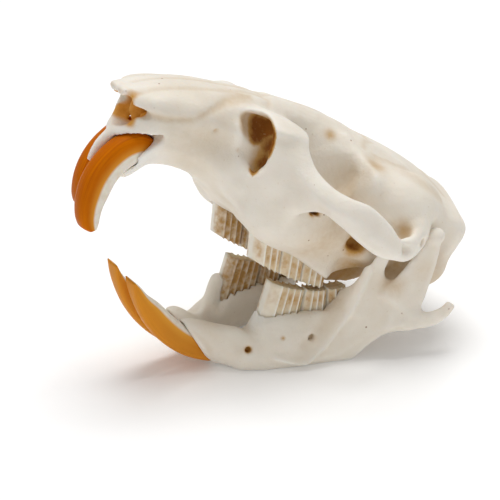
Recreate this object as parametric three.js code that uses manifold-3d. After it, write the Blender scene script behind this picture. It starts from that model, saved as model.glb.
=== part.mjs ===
// Muskrat skull with its lower jaw in place and open, resting on the lower jaw.
// Millimetres, +Z up. The snout points along -X and the animal's left side along -Y.
//
// The cranium and the upper teeth are drawn in the skull's own frame: x runs back from the
// tip of the nasal bones, y is the distance out from the midline, z is the height over that tip.
// The lower jaw is drawn straight in the object's frame, with z = 0 on the ground.

import * as THREE from 'three';
import { mergeVertices } from 'three/addons/utils/BufferGeometryUtils.js';
import Module from 'manifold-3d';

const wasm = await Module();
wasm.setup();

// Where the cranium sits over the lower jaw
const PITCH = THREE.MathUtils.degToRad(23);   // nose up, because the mouth is open
const NASAL_TIP_X = -22.8;
const NASAL_TIP_Z = 44.0;

// The lower jaw's own x = 0 lies just behind the front of its first cheek tooth
const JAW_X = -2.2;

const GAP = 0.3;                  // air between a tooth and its socket
const MIDLINE_GAP = 0.3;          // air between the two halves of the lower jaw
const RING_POINTS = 28;           // round the brain case
const SIDES = { left: -1, right: 1 };

// Cranium
const NOSE_SLOPE = 2.0;           // how far the lip under the nasal opening lies behind the nasal tip
const NOSE_HOLLOW = 2.9;          // and how far the opening's rim is set back between the two
const ARCH_THICKNESS = 1.9;       // zygomatic arch, a flat bar
const BULLA = { at: [52, 6.6, -12.6], radii: [6.6, 4.5, 4.3], turn: 0.42 };
const OCCIPITAL_CONDYLE = { at: [58.2, 3.3, -9.8], radii: [1.7, 1.6, 2.2] };
const FORAMEN_MAGNUM = { at: [59.6, 0, -8.0], radii: [3.4, 2.7, 2.3] };
const EAR_OPENING = { at: [51.5, 11.4, -10.2], radii: [1.3, 1.6, 1.3] };
const NASAL_CAVITY = { at: [3.0, 0, -2.1], radii: [11, 2.6, 2.7] };
const INCISIVE_SLIT = { at: [14.5, 0.95, -9.1], radii: [5.4, 0.45, 1.3] };
const PALATE_GROOVE = { at: [31, 0, -15.9], radii: [10, 2.3, 2.0] };

// Incisors: the curve that the front face follows, seen from the side
const UPPER_INCISOR = { centre: [9.75, -14.2], front: 10.2, depth: 4.2, width: 3.3, midline: 2.05 };
const LOWER_INCISOR = { centre: [-2, 17.5], front: 18, depth: 3.6, width: 3.0, midline: 1.95 };
const SOCKET_MOUTH = { width: 5.6, midline: 3.25 };   // bared on the outer side of an upper incisor
const RIGHT_UPPER_SHIFT = [1.1, 1.0];   // this tooth sits further back in its socket
const RIGHT_LOWER_SHIFT = [-0.8, 0.5];   // and this one further out

// Cheek tooth rows. Each tooth's length and how many ridges stand on each side of it, then the
// levels of the row: where it starts, its height there, how that changes going back, and how
// much shorter than at the roots the row is at that level.
const UPPER_ROW = {
  teeth: [{ length: 5.6, ridges: 3 }, { length: 3.9, ridges: 3 }, { length: 4.1, ridges: 3 }],
  width: 2.9,
  y: 4.9,
  spread: 0.05,
  root: { x: 24.3, z: -11.6, slope: -0.34, bend: 0, reach: 1 },
  rim: { x: 24.8, z: -13.5, slope: -0.34, bend: 0, reach: 1 },
  crown: { x: 26.3, z: -18.2, slope: -0.3, bend: 0.013, reach: 0.91 },
};
const LOWER_ROW = {
  teeth: [{ length: 6.7, ridges: 4 }, { length: 3.9, ridges: 3 }, { length: 3.4, ridges: 3 }],
  width: 3.0,
  y: 5.3,
  spread: 0.08,
  root: { x: -3.0, z: 5.9, slope: -0.05, bend: 0, reach: 1 },
  crown: { x: -0.4, z: 12.6, slope: -0.55, bend: 0.028, reach: 0.81 },
};
const RIDGE_DEPTH = 0.75;

// One cross-section of the cranium. Half-widths go with the height beside them.
// x, roof height, roof half-width, side, side height, low, low height, floor half-width, floor
const CRANIUM_SECTIONS = [
  { x: 0.0, roof: 0.5, crown: 2.3, side: 2.9, sideZ: -1.0, low: 2.9, lowZ: -4.4, base: 1.4, floor: -6.4 },
  { x: 2.0, roof: 1.3, crown: 3.2, side: 4.2, sideZ: -1.3, low: 4.2, lowZ: -4.8, base: 2.4, floor: -8.0 },
  { x: 4.3, roof: 2.1, crown: 3.7, side: 5.3, sideZ: -1.2, low: 5.1, lowZ: -5.4, base: 1.8, floor: -11.6 },
  { x: 8.0, roof: 2.8, crown: 4.0, side: 6.0, sideZ: -0.9, low: 5.5, lowZ: -5.4, base: 2.4, floor: -8.9 },
  { x: 12.0, roof: 3.2, crown: 3.9, side: 6.4, sideZ: -0.8, low: 5.4, lowZ: -5.6, base: 2.4, floor: -8.7 },
  { x: 16.0, roof: 3.4, crown: 3.7, side: 6.4, sideZ: -0.8, low: 5.6, lowZ: -6.2, base: 3.0, floor: -9.5 },
  { x: 20.0, roof: 3.6, crown: 3.4, side: 6.0, sideZ: -0.8, low: 5.8, lowZ: -7.6, base: 4.2, floor: -11.3 },
  { x: 24.0, roof: 3.4, crown: 3.0, side: 4.6, sideZ: -1.0, low: 5.8, lowZ: -8.4, base: 5.4, floor: -13.1 },
  { x: 28.0, roof: 3.2, crown: 2.6, side: 4.0, sideZ: -1.6, low: 5.4, lowZ: -9.0, base: 5.6, floor: -13.9 },
  { x: 32.0, roof: 3.0, crown: 2.7, side: 4.8, sideZ: -2.0, low: 5.8, lowZ: -9.6, base: 5.8, floor: -14.9 },
  { x: 35.5, roof: 2.5, crown: 3.8, side: 7.6, sideZ: -2.2, low: 6.6, lowZ: -9.2, base: 5.8, floor: -15.8 },
  { x: 38.0, roof: 2.1, crown: 5.6, side: 10.6, sideZ: -2.2, low: 7.6, lowZ: -9.0, base: 5.2, floor: -15.4 },
  { x: 41.0, roof: 1.6, crown: 6.2, side: 11.4, sideZ: -3.0, low: 8.6, lowZ: -9.2, base: 4.4, floor: -13.0 },
  { x: 46.0, roof: 0.8, crown: 6.6, side: 12.0, sideZ: -3.8, low: 9.4, lowZ: -9.8, base: 4.4, floor: -12.4 },
  { x: 52.0, roof: -0.8, crown: 7.0, side: 12.0, sideZ: -5.0, low: 9.9, lowZ: -10.6, base: 4.6, floor: -13.0 },
  { x: 55.4, roof: -2.0, crown: 7.4, side: 11.8, sideZ: -5.8, low: 10.0, lowZ: -11.0, base: 4.2, floor: -13.0 },
  { x: 57.4, roof: -3.0, crown: 7.0, side: 10.8, sideZ: -6.4, low: 8.6, lowZ: -10.8, base: 3.8, floor: -12.6 },
  { x: 58.8, roof: -4.8, crown: 4.6, side: 7.2, sideZ: -7.4, low: 5.2, lowZ: -10.0, base: 3.0, floor: -11.8 },
];

// Stations of the zygomatic arch from its front root back to the brain case. Each is a
// line down the middle of the bar: its top, middle and bottom as [y, z].
const ARCH_STATIONS = [
  { x: 16.2, top: [4.4, 2.2], middle: [4.8, -1.0], bottom: [4.4, -7.0] },
  { x: 18.6, top: [5.8, 2.3], middle: [7.2, -1.4], bottom: [5.2, -9.6] },
  { x: 20.8, top: [7.6, 2.2], middle: [9.2, -1.8], bottom: [5.8, -11.2] },
  { x: 22.9, top: [9.4, 1.6], middle: [11.0, -2.6], bottom: [6.8, -12.4] },
  { x: 24.8, top: [11.4, 0.2], middle: [12.8, -3.4], bottom: [7.4, -12.4] },
  { x: 26.4, top: [13.5, -2.0], middle: [14.5, -4.8], bottom: [9.8, -10.8] },
  { x: 28.2, top: [16.0, -3.4], middle: [16.5, -5.4], bottom: [14.4, -8.4] },
  { x: 30.5, top: [17.9, -3.9], middle: [18.2, -6.0], bottom: [17.4, -8.7] },
  { x: 33.6, top: [18.6, -4.2], middle: [18.7, -6.9], bottom: [18.6, -9.8] },
  { x: 37.6, top: [18.4, -5.9], middle: [18.5, -8.3], bottom: [18.4, -10.8] },
  { x: 41.0, top: [17.5, -7.8], middle: [17.6, -9.4], bottom: [17.5, -11.1] },
  { x: 43.8, top: [16.3, -7.0], middle: [16.5, -9.2], bottom: [16.3, -11.2] },
  { x: 45.9, top: [14.3, -5.2], middle: [14.8, -7.8], bottom: [14.8, -10.2] },
  { x: 46.9, top: [12.3, -3.8], middle: [12.8, -6.0], bottom: [12.9, -8.2] },
  { x: 46.6, top: [10.0, -3.4], middle: [10.4, -5.4], bottom: [10.4, -7.4] },
];

// The keyhole opening through the front root of the arch: its outline square to the way through,
// and rings along that way, each with the direction of its width seen from above
const KEYHOLE = {
  outline: [[1.5, 0.9], [1.5, -0.8], [0.4, -5.0], [-0.4, -5.3], [-1.5, -0.8], [-1.5, 0.9], [0, 1.7]],
  rings: [
    { at: [17.7, 10.4], across: [0.86, 0.5], wide: 1.5 },
    { at: [20.0, 7.0], across: [0.86, 0.5], wide: 1.2 },
    { at: [27.0, 7.2], across: [0, 1], wide: 0.9 },
  ],
};

// Dentary cross-sections from the incisor back to the rear border, each a closed ring of
// [y, z] points; lean tilts a section's foot back, along the rim of the incisor's socket.
const DENTARY_SECTIONS = [
  { x: -12.4, lean: 0.58, ring: [[2.2, 7.8], [3.8, 6.8], [4.4, 3.2], [2.8, 0.8], [0.3, 2.0], [0.25, 6.8]] },
  { x: -10.0, lean: 0.4, ring: [[1.8, 6.8], [4.0, 6.2], [5.0, 3.2], [3.4, 0.5], [0.3, 2.0], [0.3, 6.2]] },
  { x: -7.2, lean: 0.2, ring: [[2.8, 5.6], [5.0, 5.0], [6.3, 3.0], [4.8, 0.3], [1.4, 1.6], [1.2, 4.8]] },
  { x: -4.9, lean: 0, ring: [[4.5, 5.2], [6.4, 4.8], [7.7, 2.6], [6.2, 0.0], [3.4, 1.2], [3.0, 4.6]] },
  { x: -3.1, lean: 0, ring: [[5.1, 7.9], [7.1, 7.5], [8.4, 2.6], [7.2, -0.3], [4.5, 1.0], [3.3, 7.3]] },
  { x: 2.5, lean: 0, ring: [[5.6, 7.6], [7.9, 7.3], [9.8, 2.4], [8.3, -0.35], [5.9, 1.2], [3.6, 7.1]] },
  { x: 7.5, lean: 0, ring: [[6.0, 7.2], [8.9, 7.6], [10.8, 3.0], [9.3, -0.35], [7.2, 1.4], [4.0, 6.9]] },
  { x: 10.6, lean: 0, ring: [[9.8, 9.8], [11.2, 8.6], [11.6, 3.4], [10.3, -0.2], [8.4, 2.0], [5.0, 7.0]] },
  { x: 13.6, lean: 0, ring: [[11.2, 13.0], [12.0, 9.6], [12.3, 5.0], [11.6, 2.6], [10.2, 4.4], [9.0, 8.0]] },
  { x: 16.6, lean: 0, ring: [[12.0, 11.5], [12.9, 9.0], [13.1, 6.0], [12.5, 4.3], [11.4, 5.8], [11.2, 8.8]] },
  { x: 19.0, lean: 0, ring: [[12.4, 11.6], [13.3, 9.4], [13.5, 7.0], [13.2, 4.9], [12.4, 6.6], [12.0, 9.4]] },
  { x: 20.6, lean: 0, ring: [[12.7, 12.0], [13.3, 10.8], [13.4, 9.6], [13.2, 8.6], [12.6, 9.6], [12.4, 10.8]] },
];

// Processes of the dentary: a tapering flat bar along [x, y, z] points; deep is its size
// along the jaw's side and thin its size across
const CORONOID = {
  path: [[11.2, 10.6, 7.5], [12.9, 11.3, 12.2], [14.5, 11.7, 15.4], [15.8, 11.8, 17.2], [16.9, 11.8, 18.0]],
  deep: [3.6, 2.8, 2.3, 1.8, 0.9],
  thin: [1.6, 1.4, 1.2, 1.0, 0.7],
};
const CONDYLE_NECK = {
  path: [[16.8, 12.6, 8.2], [19.4, 12.9, 11.4], [21.0, 13.3, 14.2], [21.8, 13.7, 16.8]],
  deep: [6.0, 5.4, 4.2, 2.4],
  thin: [1.6, 1.6, 1.6, 1.5],
};
const CONDYLE = { at: [21.9, 13.8, 17.2], radii: [1.9, 1.15, 1.25] };
const ANGULAR_PROCESS = {
  path: [[15.5, 12.4, 6.2], [18.8, 13.2, 5.6], [21.4, 14.0, 5.4], [23.4, 14.6, 6.3], [24.4, 14.9, 7.5]],
  deep: [3.0, 2.4, 1.7, 1.3, 0.8],
  thin: [1.4, 1.3, 1.2, 1.0, 0.7],
};
const MENTAL_FORAMEN = { at: [-4.3, 7.9, 3.9], radii: [0.6, 1.2, 0.55] };

const bone = () => new THREE.MeshStandardMaterial({ color: 0xe8e0d2, roughness: 0.55, metalness: 0 });
const orangeEnamel = () => new THREE.MeshStandardMaterial({ color: 0xc9691c, roughness: 0.25, metalness: 0 });
const cheekTooth = () => new THREE.MeshStandardMaterial({ color: 0xd8c39a, roughness: 0.4, metalness: 0 });

// Solid helpers

function signedVolume(points, triangles) {
  let volume = 0;
  const edge = new THREE.Vector3();
  for (let i = 0; i < triangles.length; i += 3) {
    const [a, b, c] = [points[triangles[i]], points[triangles[i + 1]], points[triangles[i + 2]]];
    volume += edge.crossVectors(b, c).dot(a) / 6;
  }
  return volume;
}

// A closed solid through rings of equally many points, with both ends capped
function loft(rings) {
  const count = rings[0].length;
  const points = rings.flat();
  const triangles = [];
  for (let r = 0; r + 1 < rings.length; r++) {
    for (let i = 0; i < count; i++) {
      const next = (i + 1) % count;
      const [a, b, c, d] = [r * count + i, r * count + next, (r + 1) * count + next, (r + 1) * count + i];
      triangles.push(a, b, c, a, c, d);
    }
  }
  const caps = [{ ring: rings[0], start: 0, front: true },
    { ring: rings.at(-1), start: (rings.length - 1) * count, front: false }];
  for (const { ring, start, front } of caps) {
    const middle = new THREE.Vector3();
    ring.forEach((point) => middle.addScaledVector(point, 1 / count));
    points.push(middle);
    for (let i = 0; i < count; i++) {
      const [a, b] = [start + i, start + (i + 1) % count];
      triangles.push(points.length - 1, ...(front ? [b, a] : [a, b]));
    }
  }
  if (signedVolume(points, triangles) < 0) triangles.reverse();
  return toManifold(points, triangles);
}

function toManifold(points, triangles) {
  const mesh = new wasm.Mesh({
    numProp: 3,
    vertProperties: new Float32Array(points.flatMap((point) => point.toArray())),
    triVerts: new Uint32Array(triangles),
  });
  return new wasm.Manifold(mesh);
}

function geometryToManifold(geometry) {
  const plain = geometry.clone();
  plain.deleteAttribute('normal');
  plain.deleteAttribute('uv');
  const merged = mergeVertices(plain, 1e-4);
  const place = merged.getAttribute('position');
  const points = Array.from({ length: place.count }, (_, i) => new THREE.Vector3().fromBufferAttribute(place, i));
  return toManifold(points, Array.from(merged.index.array));
}

function manifoldToGeometry(solid) {
  const mesh = solid.getMesh();
  const geometry = new THREE.BufferGeometry();
  geometry.setAttribute('position', new THREE.BufferAttribute(new Float32Array(mesh.vertProperties), 3));
  geometry.setIndex(new THREE.BufferAttribute(new Uint32Array(mesh.triVerts), 1));
  geometry.computeVertexNormals();
  return geometry;
}

function ellipsoid({ at, radii, turn = 0 }, side = 1, round = 12) {
  const sphere = new THREE.SphereGeometry(1, round, Math.round(round * 0.7));
  sphere.scale(...radii).rotateZ(turn * side).translate(at[0], at[1] * side, at[2]);
  return geometryToManifold(sphere);
}

// Evenly spaced points round the smooth closed curve through some corner points
function smoothRing(corners, count) {
  const curve = new THREE.CatmullRomCurve3(corners, true, 'centripetal');
  return curve.getSpacedPoints(count).slice(0, count);
}

// A bar of oval section along a path on one side of the midline; deep is measured square to
// the path in the side view, thin across it
function taperedBar({ path, deep, thin }, side, count = 10) {
  const centres = path.map(([x, y, z]) => new THREE.Vector3(x, y * side, z));
  const across = new THREE.Vector3(0, 1, 0);
  const rings = centres.map((centre, i) => {
    const before = centres[Math.max(i - 1, 0)];
    const after = centres[Math.min(i + 1, centres.length - 1)];
    const along = after.clone().sub(before).normalize();
    const up = along.clone().cross(across).normalize();
    return Array.from({ length: count }, (_, k) => {
      const angle = (2 * Math.PI * k) / count;
      return centre.clone()
        .addScaledVector(up, Math.cos(angle) * deep[i] / 2)
        .addScaledVector(across, Math.sin(angle) * thin[i] / 2);
    });
  });
  return loft(rings);
}

// Cranium

function craniumRing(section, index) {
  const { x, roof, crown, side, sideZ, low, lowZ, base, floor } = section;
  const half = [[crown, roof - 0.22 * crown], [side, sideZ], [low, lowZ], [base, floor]];
  const outline = [[0, roof], ...half, [0, floor], ...half.toReversed().map(([y, z]) => [-y, z])];
  const front = Math.max(0, 1 - index / 3);
  const corners = outline.map(([y, z]) => {
    const down = (roof - z) / (roof - floor);
    const setback = front * (NOSE_SLOPE * down + NOSE_HOLLOW * Math.sin(Math.PI * down));
    return new THREE.Vector3(x + setback, y, z);
  });
  return smoothRing(corners, RING_POINTS);
}

function archBar(side) {
  const rings = ARCH_STATIONS.map((station, i) => {
    const before = ARCH_STATIONS[Math.max(i - 1, 0)];
    const after = ARCH_STATIONS[Math.min(i + 1, ARCH_STATIONS.length - 1)];
    const heading = new THREE.Vector2(after.x - before.x, after.middle[0] - before.middle[0]).normalize();
    const half = ARCH_THICKNESS / 2;
    const offset = (place, amount, lift = 0) => new THREE.Vector3(
      station.x - heading.y * amount,
      (place[0] + heading.x * amount) * side,
      place[1] + lift,
    );
    const { top, middle, bottom } = station;
    return [
      offset(top, 0), offset(top, half * 0.8, -0.4), offset(middle, half), offset(bottom, half * 0.8, 0.4),
      offset(bottom, 0), offset(bottom, -half * 0.8, 0.4), offset(middle, -half), offset(top, -half * 0.8, -0.4),
    ];
  });
  return loft(rings);
}

// The bone that closes the top of the keyhole
function rootBridge(side) {
  const bridge = {
    path: [[17.5, 3.6, 0.9], [20.5, 5.8, 1.7], [23.4, 8.0, 1.8], [25.0, 10.2, 0.6]],
    deep: [1.6, 1.7, 1.7, 1.4],
    thin: [3.0, 4.2, 4.2, 2.4],
  };
  return taperedBar(bridge, side, 8);
}

function keyhole(side) {
  return loft(KEYHOLE.rings.map(({ at, across, wide }) => KEYHOLE.outline.map(([out, z]) => new THREE.Vector3(
    at[0] + out * wide * across[0],
    (at[1] + out * wide * across[1]) * side,
    z,
  ))));
}

// The spine of bone that comes down between the upper incisors
function incisorSpine() {
  const spine = {
    path: [[5.6, 0, -6.6], [3.2, 0, -7.2], [2.0, 0, -8.6], [1.5, 0, -10.0]],
    deep: [3.0, 2.0, 1.4, 0.5],
    thin: [2.6, 1.6, 0.7, 0.4],
  };
  return taperedBar(spine, 1, 8);
}

function pterygoidPlate(side) {
  const plate = {
    path: [[37.5, 3.4, -15.6], [41.0, 3.3, -16.2], [44.5, 3.6, -15.6], [48.5, 4.6, -14.2]],
    deep: [3.5, 5.6, 5.4, 3.0],
    thin: [1.0, 1.0, 1.0, 1.0],
  };
  return taperedBar(plate, side, 8);
}

function paroccipitalProcess(side) {
  const process = {
    path: [[56.0, 9.0, -9.0], [56.4, 9.2, -12.0], [56.2, 8.9, -14.4]],
    deep: [4.0, 2.6, 1.0],
    thin: [2.4, 1.6, 0.8],
  };
  return taperedBar(process, side, 8);
}

function buildCranium() {
  let solid = loft(CRANIUM_SECTIONS.map(craniumRing));
  const grow = (piece) => { solid = solid.add(piece); };
  const cut = (piece) => { solid = solid.subtract(piece); };
  for (const side of Object.values(SIDES)) {
    grow(archBar(side));
    grow(rootBridge(side));
    grow(alveolarProcess(UPPER_ROW, side));
    grow(ellipsoid(BULLA, side, 14));
    grow(pterygoidPlate(side));
    grow(paroccipitalProcess(side));
    grow(ellipsoid(OCCIPITAL_CONDYLE, side, 8));
  }
  grow(incisorSpine());
  cut(ellipsoid(NASAL_CAVITY, 1, 12));
  cut(ellipsoid(FORAMEN_MAGNUM, 1, 12));
  cut(ellipsoid(PALATE_GROOVE, 1, 12));
  for (const side of Object.values(SIDES)) {
    cut(keyhole(side));
    cut(ellipsoid(EAR_OPENING, side, 8));
    cut(ellipsoid(INCISIVE_SLIT, side, 8));
    cut(upperIncisor(side, GAP));
    cut(socketMouth(side));
    cut(rowTrench(UPPER_ROW, side));
  }
  return solid;
}

// Incisors

// Section of an incisor: how far from the front face to the back one, and how far across
const INCISOR_SECTION = [
  [0, -0.26], [0, 0.26], [0.14, 0.45], [0.45, 0.5], [0.85, 0.42], [1, 0.2],
  [1, -0.2], [0.85, -0.42], [0.45, -0.5], [0.14, -0.45],
];

// stations: angle on the curve in degrees, and where the front and back faces are there,
// as parts of the tooth's depth behind the curve
function incisor(shape, stations, side, grow) {
  const [cx, cz] = shape.centre;
  const rings = stations.map(({ angle, face, back }) => {
    const turn = THREE.MathUtils.degToRad(angle);
    const outer = shape.front - face * shape.depth + grow;
    const inner = shape.front - back * shape.depth - grow;
    return INCISOR_SECTION.map(([depth, across]) => {
      const radius = outer + (inner - outer) * depth;
      const y = shape.midline + across * (shape.width + 2 * grow);
      return new THREE.Vector3(cx + radius * Math.cos(turn), y * side, cz + radius * Math.sin(turn));
    });
  });
  return loft(rings);
}

function shifted(shape, side, shift) {
  const amount = side === SIDES.right ? shift : [0, 0];
  return { ...shape, centre: shape.centre.map((value, i) => value + amount[i]) };
}

function upperIncisor(side, grow = 0) {
  const tip = side === SIDES.left ? 206 : 201;
  const stations = [
    { angle: 100 - 2 * grow, face: 0.3, back: 0.9 },
    { angle: 112, face: 0.05, back: 1 },
    { angle: 130, face: 0, back: 1 },
    { angle: 148, face: 0, back: 1 },
    { angle: 166, face: 0, back: 1 },
    { angle: tip - 24, face: 0, back: 0.95 },
    { angle: tip - 10, face: 0.01, back: 0.8 },
    { angle: tip, face: 0.06, back: 0.68 },
    { angle: tip + 8, face: 0.2, back: 0.62 },
  ];
  return incisor(shifted(UPPER_INCISOR, side, RIGHT_UPPER_SHIFT), stations, side, grow);
}

// The bone stops short on the outer side of each upper incisor
function socketMouth(side) {
  const stations = [120, 140, 160, 180].map((angle) => ({ angle, face: 0, back: 1 }));
  const shape = { ...shifted(UPPER_INCISOR, side, RIGHT_UPPER_SHIFT), ...SOCKET_MOUTH };
  return incisor(shape, stations, side, GAP);
}

function lowerIncisor(side, grow = 0) {
  const tip = side === SIDES.left ? 186.5 : 184;   // the left one is chipped
  const stations = [
    { angle: tip, face: 0.03, back: 0.12 },
    { angle: 190, face: 0, back: 0.32 },
    { angle: 197, face: 0, back: 0.56 },
    { angle: 205, face: 0, back: 0.84 },
    { angle: 214, face: 0, back: 0.96 },
    { angle: 224, face: 0, back: 1 },
    { angle: 234, face: 0, back: 1 },
    { angle: 246 + 2 * grow, face: 0.04, back: 0.96 },
  ];
  return incisor(shifted(LOWER_INCISOR, side, RIGHT_LOWER_SHIFT), stations, side, grow);
}

// Cheek teeth

// Plan of one tooth: ridges stand out on both sides, those of the inner side half a step behind
function toothPlan(length, width, ridges) {
  const step = length / ridges;
  const edge = width / 2;
  const outer = [];
  const inner = [];
  for (let i = 0; i < ridges; i++) {
    const start = i * step;
    outer.push([start + 0.3 * step, edge], [start + 0.62 * step, edge]);
    inner.push([start + 0.42 * step, -edge], [start + 0.74 * step, -edge]);
    if (i + 1 < ridges) {
      outer.push([start + 0.95 * step, edge - RIDGE_DEPTH]);
      inner.push([start + 1.08 * step, RIDGE_DEPTH - edge]);
    }
  }
  return [[0, 0], ...outer, [length, -0.2], ...inner.reverse()];
}

// A point of a row: so far along it and so far out from its middle line, at one of its levels
function rowPoint(row, level, along, across, side, lift = 0) {
  const back = along * level.reach;
  return new THREE.Vector3(
    level.x + back,
    (row.y + row.spread * back + across) * side,
    level.z + level.slope * back + level.bend * back * back + lift,
  );
}

function cheekToothRings(row, start, tooth, side) {
  const plan = toothPlan(tooth.length, row.width, tooth.ridges);
  return [row.root, row.crown].map((level) => (
    plan.map(([along, across]) => rowPoint(row, level, start + along, across, side))));
}

function cheekTeeth(row, side) {
  let start = 0;
  return row.teeth.map((tooth) => {
    const solid = loft(cheekToothRings(row, start, tooth, side));
    start += tooth.length + GAP;
    return solid;
  });
}

// A block round a whole row between two of its levels, wider than the teeth by a margin
function rowBlock(row, side, margin, levels) {
  const length = row.teeth.reduce((sum, tooth) => sum + tooth.length + GAP, -GAP);
  const half = row.width / 2 + margin;
  const corners = [[-margin, half], [length + margin, half], [length + margin, -half], [-margin, -half]];
  return loft(levels.map(({ level, lift }) => (
    corners.map(([along, across]) => rowPoint(row, level, along, across, side, lift)))));
}

// One trench holds a whole row, a little wider and deeper than its teeth
function rowTrench(row, side) {
  const deeper = Math.sign(row.root.z - row.crown.z) * GAP;
  return rowBlock(row, side, GAP, [{ level: row.root, lift: deeper }, { level: row.crown, lift: 0 }]);
}

// The ridge of bone that holds the upper row
function alveolarProcess(row, side) {
  const buried = 4;
  return rowBlock(row, side, GAP + 0.7, [{ level: row.root, lift: buried }, { level: row.rim, lift: 0 }]);
}

// Lower jaw

function dentaryRing(section, side) {
  const [, topZ] = section.ring[0];
  const corners = section.ring.map(([y, z]) => new THREE.Vector3(section.x + section.lean * (topZ - z), y * side, z));
  return smoothRing(corners, 16);
}

function buildDentary(side) {
  let solid = loft(DENTARY_SECTIONS.map((section) => dentaryRing(section, side)));
  const pieces = [
    taperedBar(CORONOID, side),
    taperedBar(CONDYLE_NECK, side),
    ellipsoid(CONDYLE, side, 10),
    taperedBar(ANGULAR_PROCESS, side),
  ];
  for (const piece of pieces) solid = solid.add(piece);
  const cuts = [
    lowerIncisor(side, GAP),
    rowTrench(LOWER_ROW, side),
    ellipsoid(MENTAL_FORAMEN, side, 8),
    geometryToManifold(new THREE.BoxGeometry(80, 60, 4).translate(0, 0, -2)),   // the ground
    geometryToManifold(new THREE.BoxGeometry(80, 10, 40).translate(0, (MIDLINE_GAP / 2 - 5) * side, 20)),
  ];
  for (const piece of cuts) solid = solid.subtract(piece);
  return solid;
}

// Scene graph

function addMesh(parent, name, solid, material) {
  const mesh = new THREE.Mesh(manifoldToGeometry(solid), material);
  mesh.name = name;
  parent.add(mesh);
}

const cranium = new THREE.Group();
cranium.position.set(NASAL_TIP_X, 0, NASAL_TIP_Z);
cranium.rotation.y = PITCH;

const lowerJaw = new THREE.Group();
lowerJaw.position.x = JAW_X;

addMesh(cranium, 'cranium', buildCranium(), bone());
for (const [name, side] of Object.entries(SIDES)) {
  addMesh(cranium, `upper_incisor_${name}`, upperIncisor(side), orangeEnamel());
  cheekTeeth(UPPER_ROW, side).forEach((solid, i) => {
    addMesh(cranium, `upper_molar_${name}_${i + 1}`, solid, cheekTooth());
  });
  addMesh(lowerJaw, `mandible_${name}`, buildDentary(side), bone());
  addMesh(lowerJaw, `lower_incisor_${name}`, lowerIncisor(side), orangeEnamel());
  cheekTeeth(LOWER_ROW, side).forEach((solid, i) => {
    addMesh(lowerJaw, `lower_molar_${name}_${i + 1}`, solid, cheekTooth());
  });
}

const skull = new THREE.Group();
skull.name = 'muskrat_skull';
skull.add(cranium, lowerJaw);

export default skull;
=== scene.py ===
# Muskrat skull with its lower jaw open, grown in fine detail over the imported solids.
#
# Bone is worked out as signed distances on an even grid, in millimetres: forms are joined and
# carved with soft transitions, sutures and crests are pressed in or raised, and the surface is
# then drawn as a mesh. Teeth are lofts, and each one also cuts its own socket.
# Skull frame: x runs back from the nasal tip, y out from the midline, z is height over the tip.
# Jaw frame: the same directions, with z = 0 on the ground.

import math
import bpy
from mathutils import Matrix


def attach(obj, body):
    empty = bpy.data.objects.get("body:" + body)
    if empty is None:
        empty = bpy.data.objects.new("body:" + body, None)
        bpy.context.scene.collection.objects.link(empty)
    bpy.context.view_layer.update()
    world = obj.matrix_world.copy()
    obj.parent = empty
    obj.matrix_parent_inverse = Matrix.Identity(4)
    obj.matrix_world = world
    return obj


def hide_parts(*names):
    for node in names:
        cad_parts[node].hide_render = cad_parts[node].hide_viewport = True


bl_info = {
    "name": "Muskrat Skull",
    "version": (1, 0, 0),
    "blender": (4, 5, 0),
    "location": "3D View > Sidebar > Skull",
    "description": "Builds a dry muskrat skull with its lower jaw, teeth and a studio stage",
    "category": "Add Mesh",
}

from collections import namedtuple

import bpy
import numpy as np
import openvdb
from bpy.props import FloatProperty, FloatVectorProperty, PointerProperty
from mathutils import Color, Vector

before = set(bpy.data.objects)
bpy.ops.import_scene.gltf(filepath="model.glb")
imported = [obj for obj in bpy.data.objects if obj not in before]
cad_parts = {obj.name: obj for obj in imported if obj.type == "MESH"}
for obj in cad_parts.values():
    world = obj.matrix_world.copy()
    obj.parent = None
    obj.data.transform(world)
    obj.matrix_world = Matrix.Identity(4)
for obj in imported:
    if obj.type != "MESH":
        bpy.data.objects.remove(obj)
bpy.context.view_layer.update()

METRE = 0.001                     # one millimetre in metres
BODY = "root"
SIDES = {"left": -1, "right": 1}
JAWS = ("upper", "lower")

# Where the cranium sits over the lower jaw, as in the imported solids
PITCH = math.radians(23)
NASAL_TIP = (-22.8, 44.0)
JAW_X = -2.2
MIDLINE_GAP = 0.3

# Grid
JAW_FINENESS = 0.75
BAND = 6                          # cells on either side of a surface that know their distance
CRANIUM_SPACE = ((-2.4, 0.0, -22.2), (62.4, 20.4, 6.0))
DENTARY_SPACE = ((-14.4, -0.6, -1.2), (26.4, 16.8, 20.4))

# How many rings each loft has, and how many points are round a ring
CRANIUM_LOFT = (150, 72)
ARCH_LOFT = (90, 28)
BAR_LOFT = (24, 20)
KEYHOLE_LOFT = (14, 32)
ROW_LOFT = (8, 48)
DENTARY_LOFT = (100, 48)
INCISOR_LOFT = (64, 40)
INCISOR_SOCKET_LOFT = (24, 28)
TOOTH_LOFT = (14, 16)             # for cheek teeth, the second is for each column of a side
TOOTH_SOCKET_LOFT = (5, 8)

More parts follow.
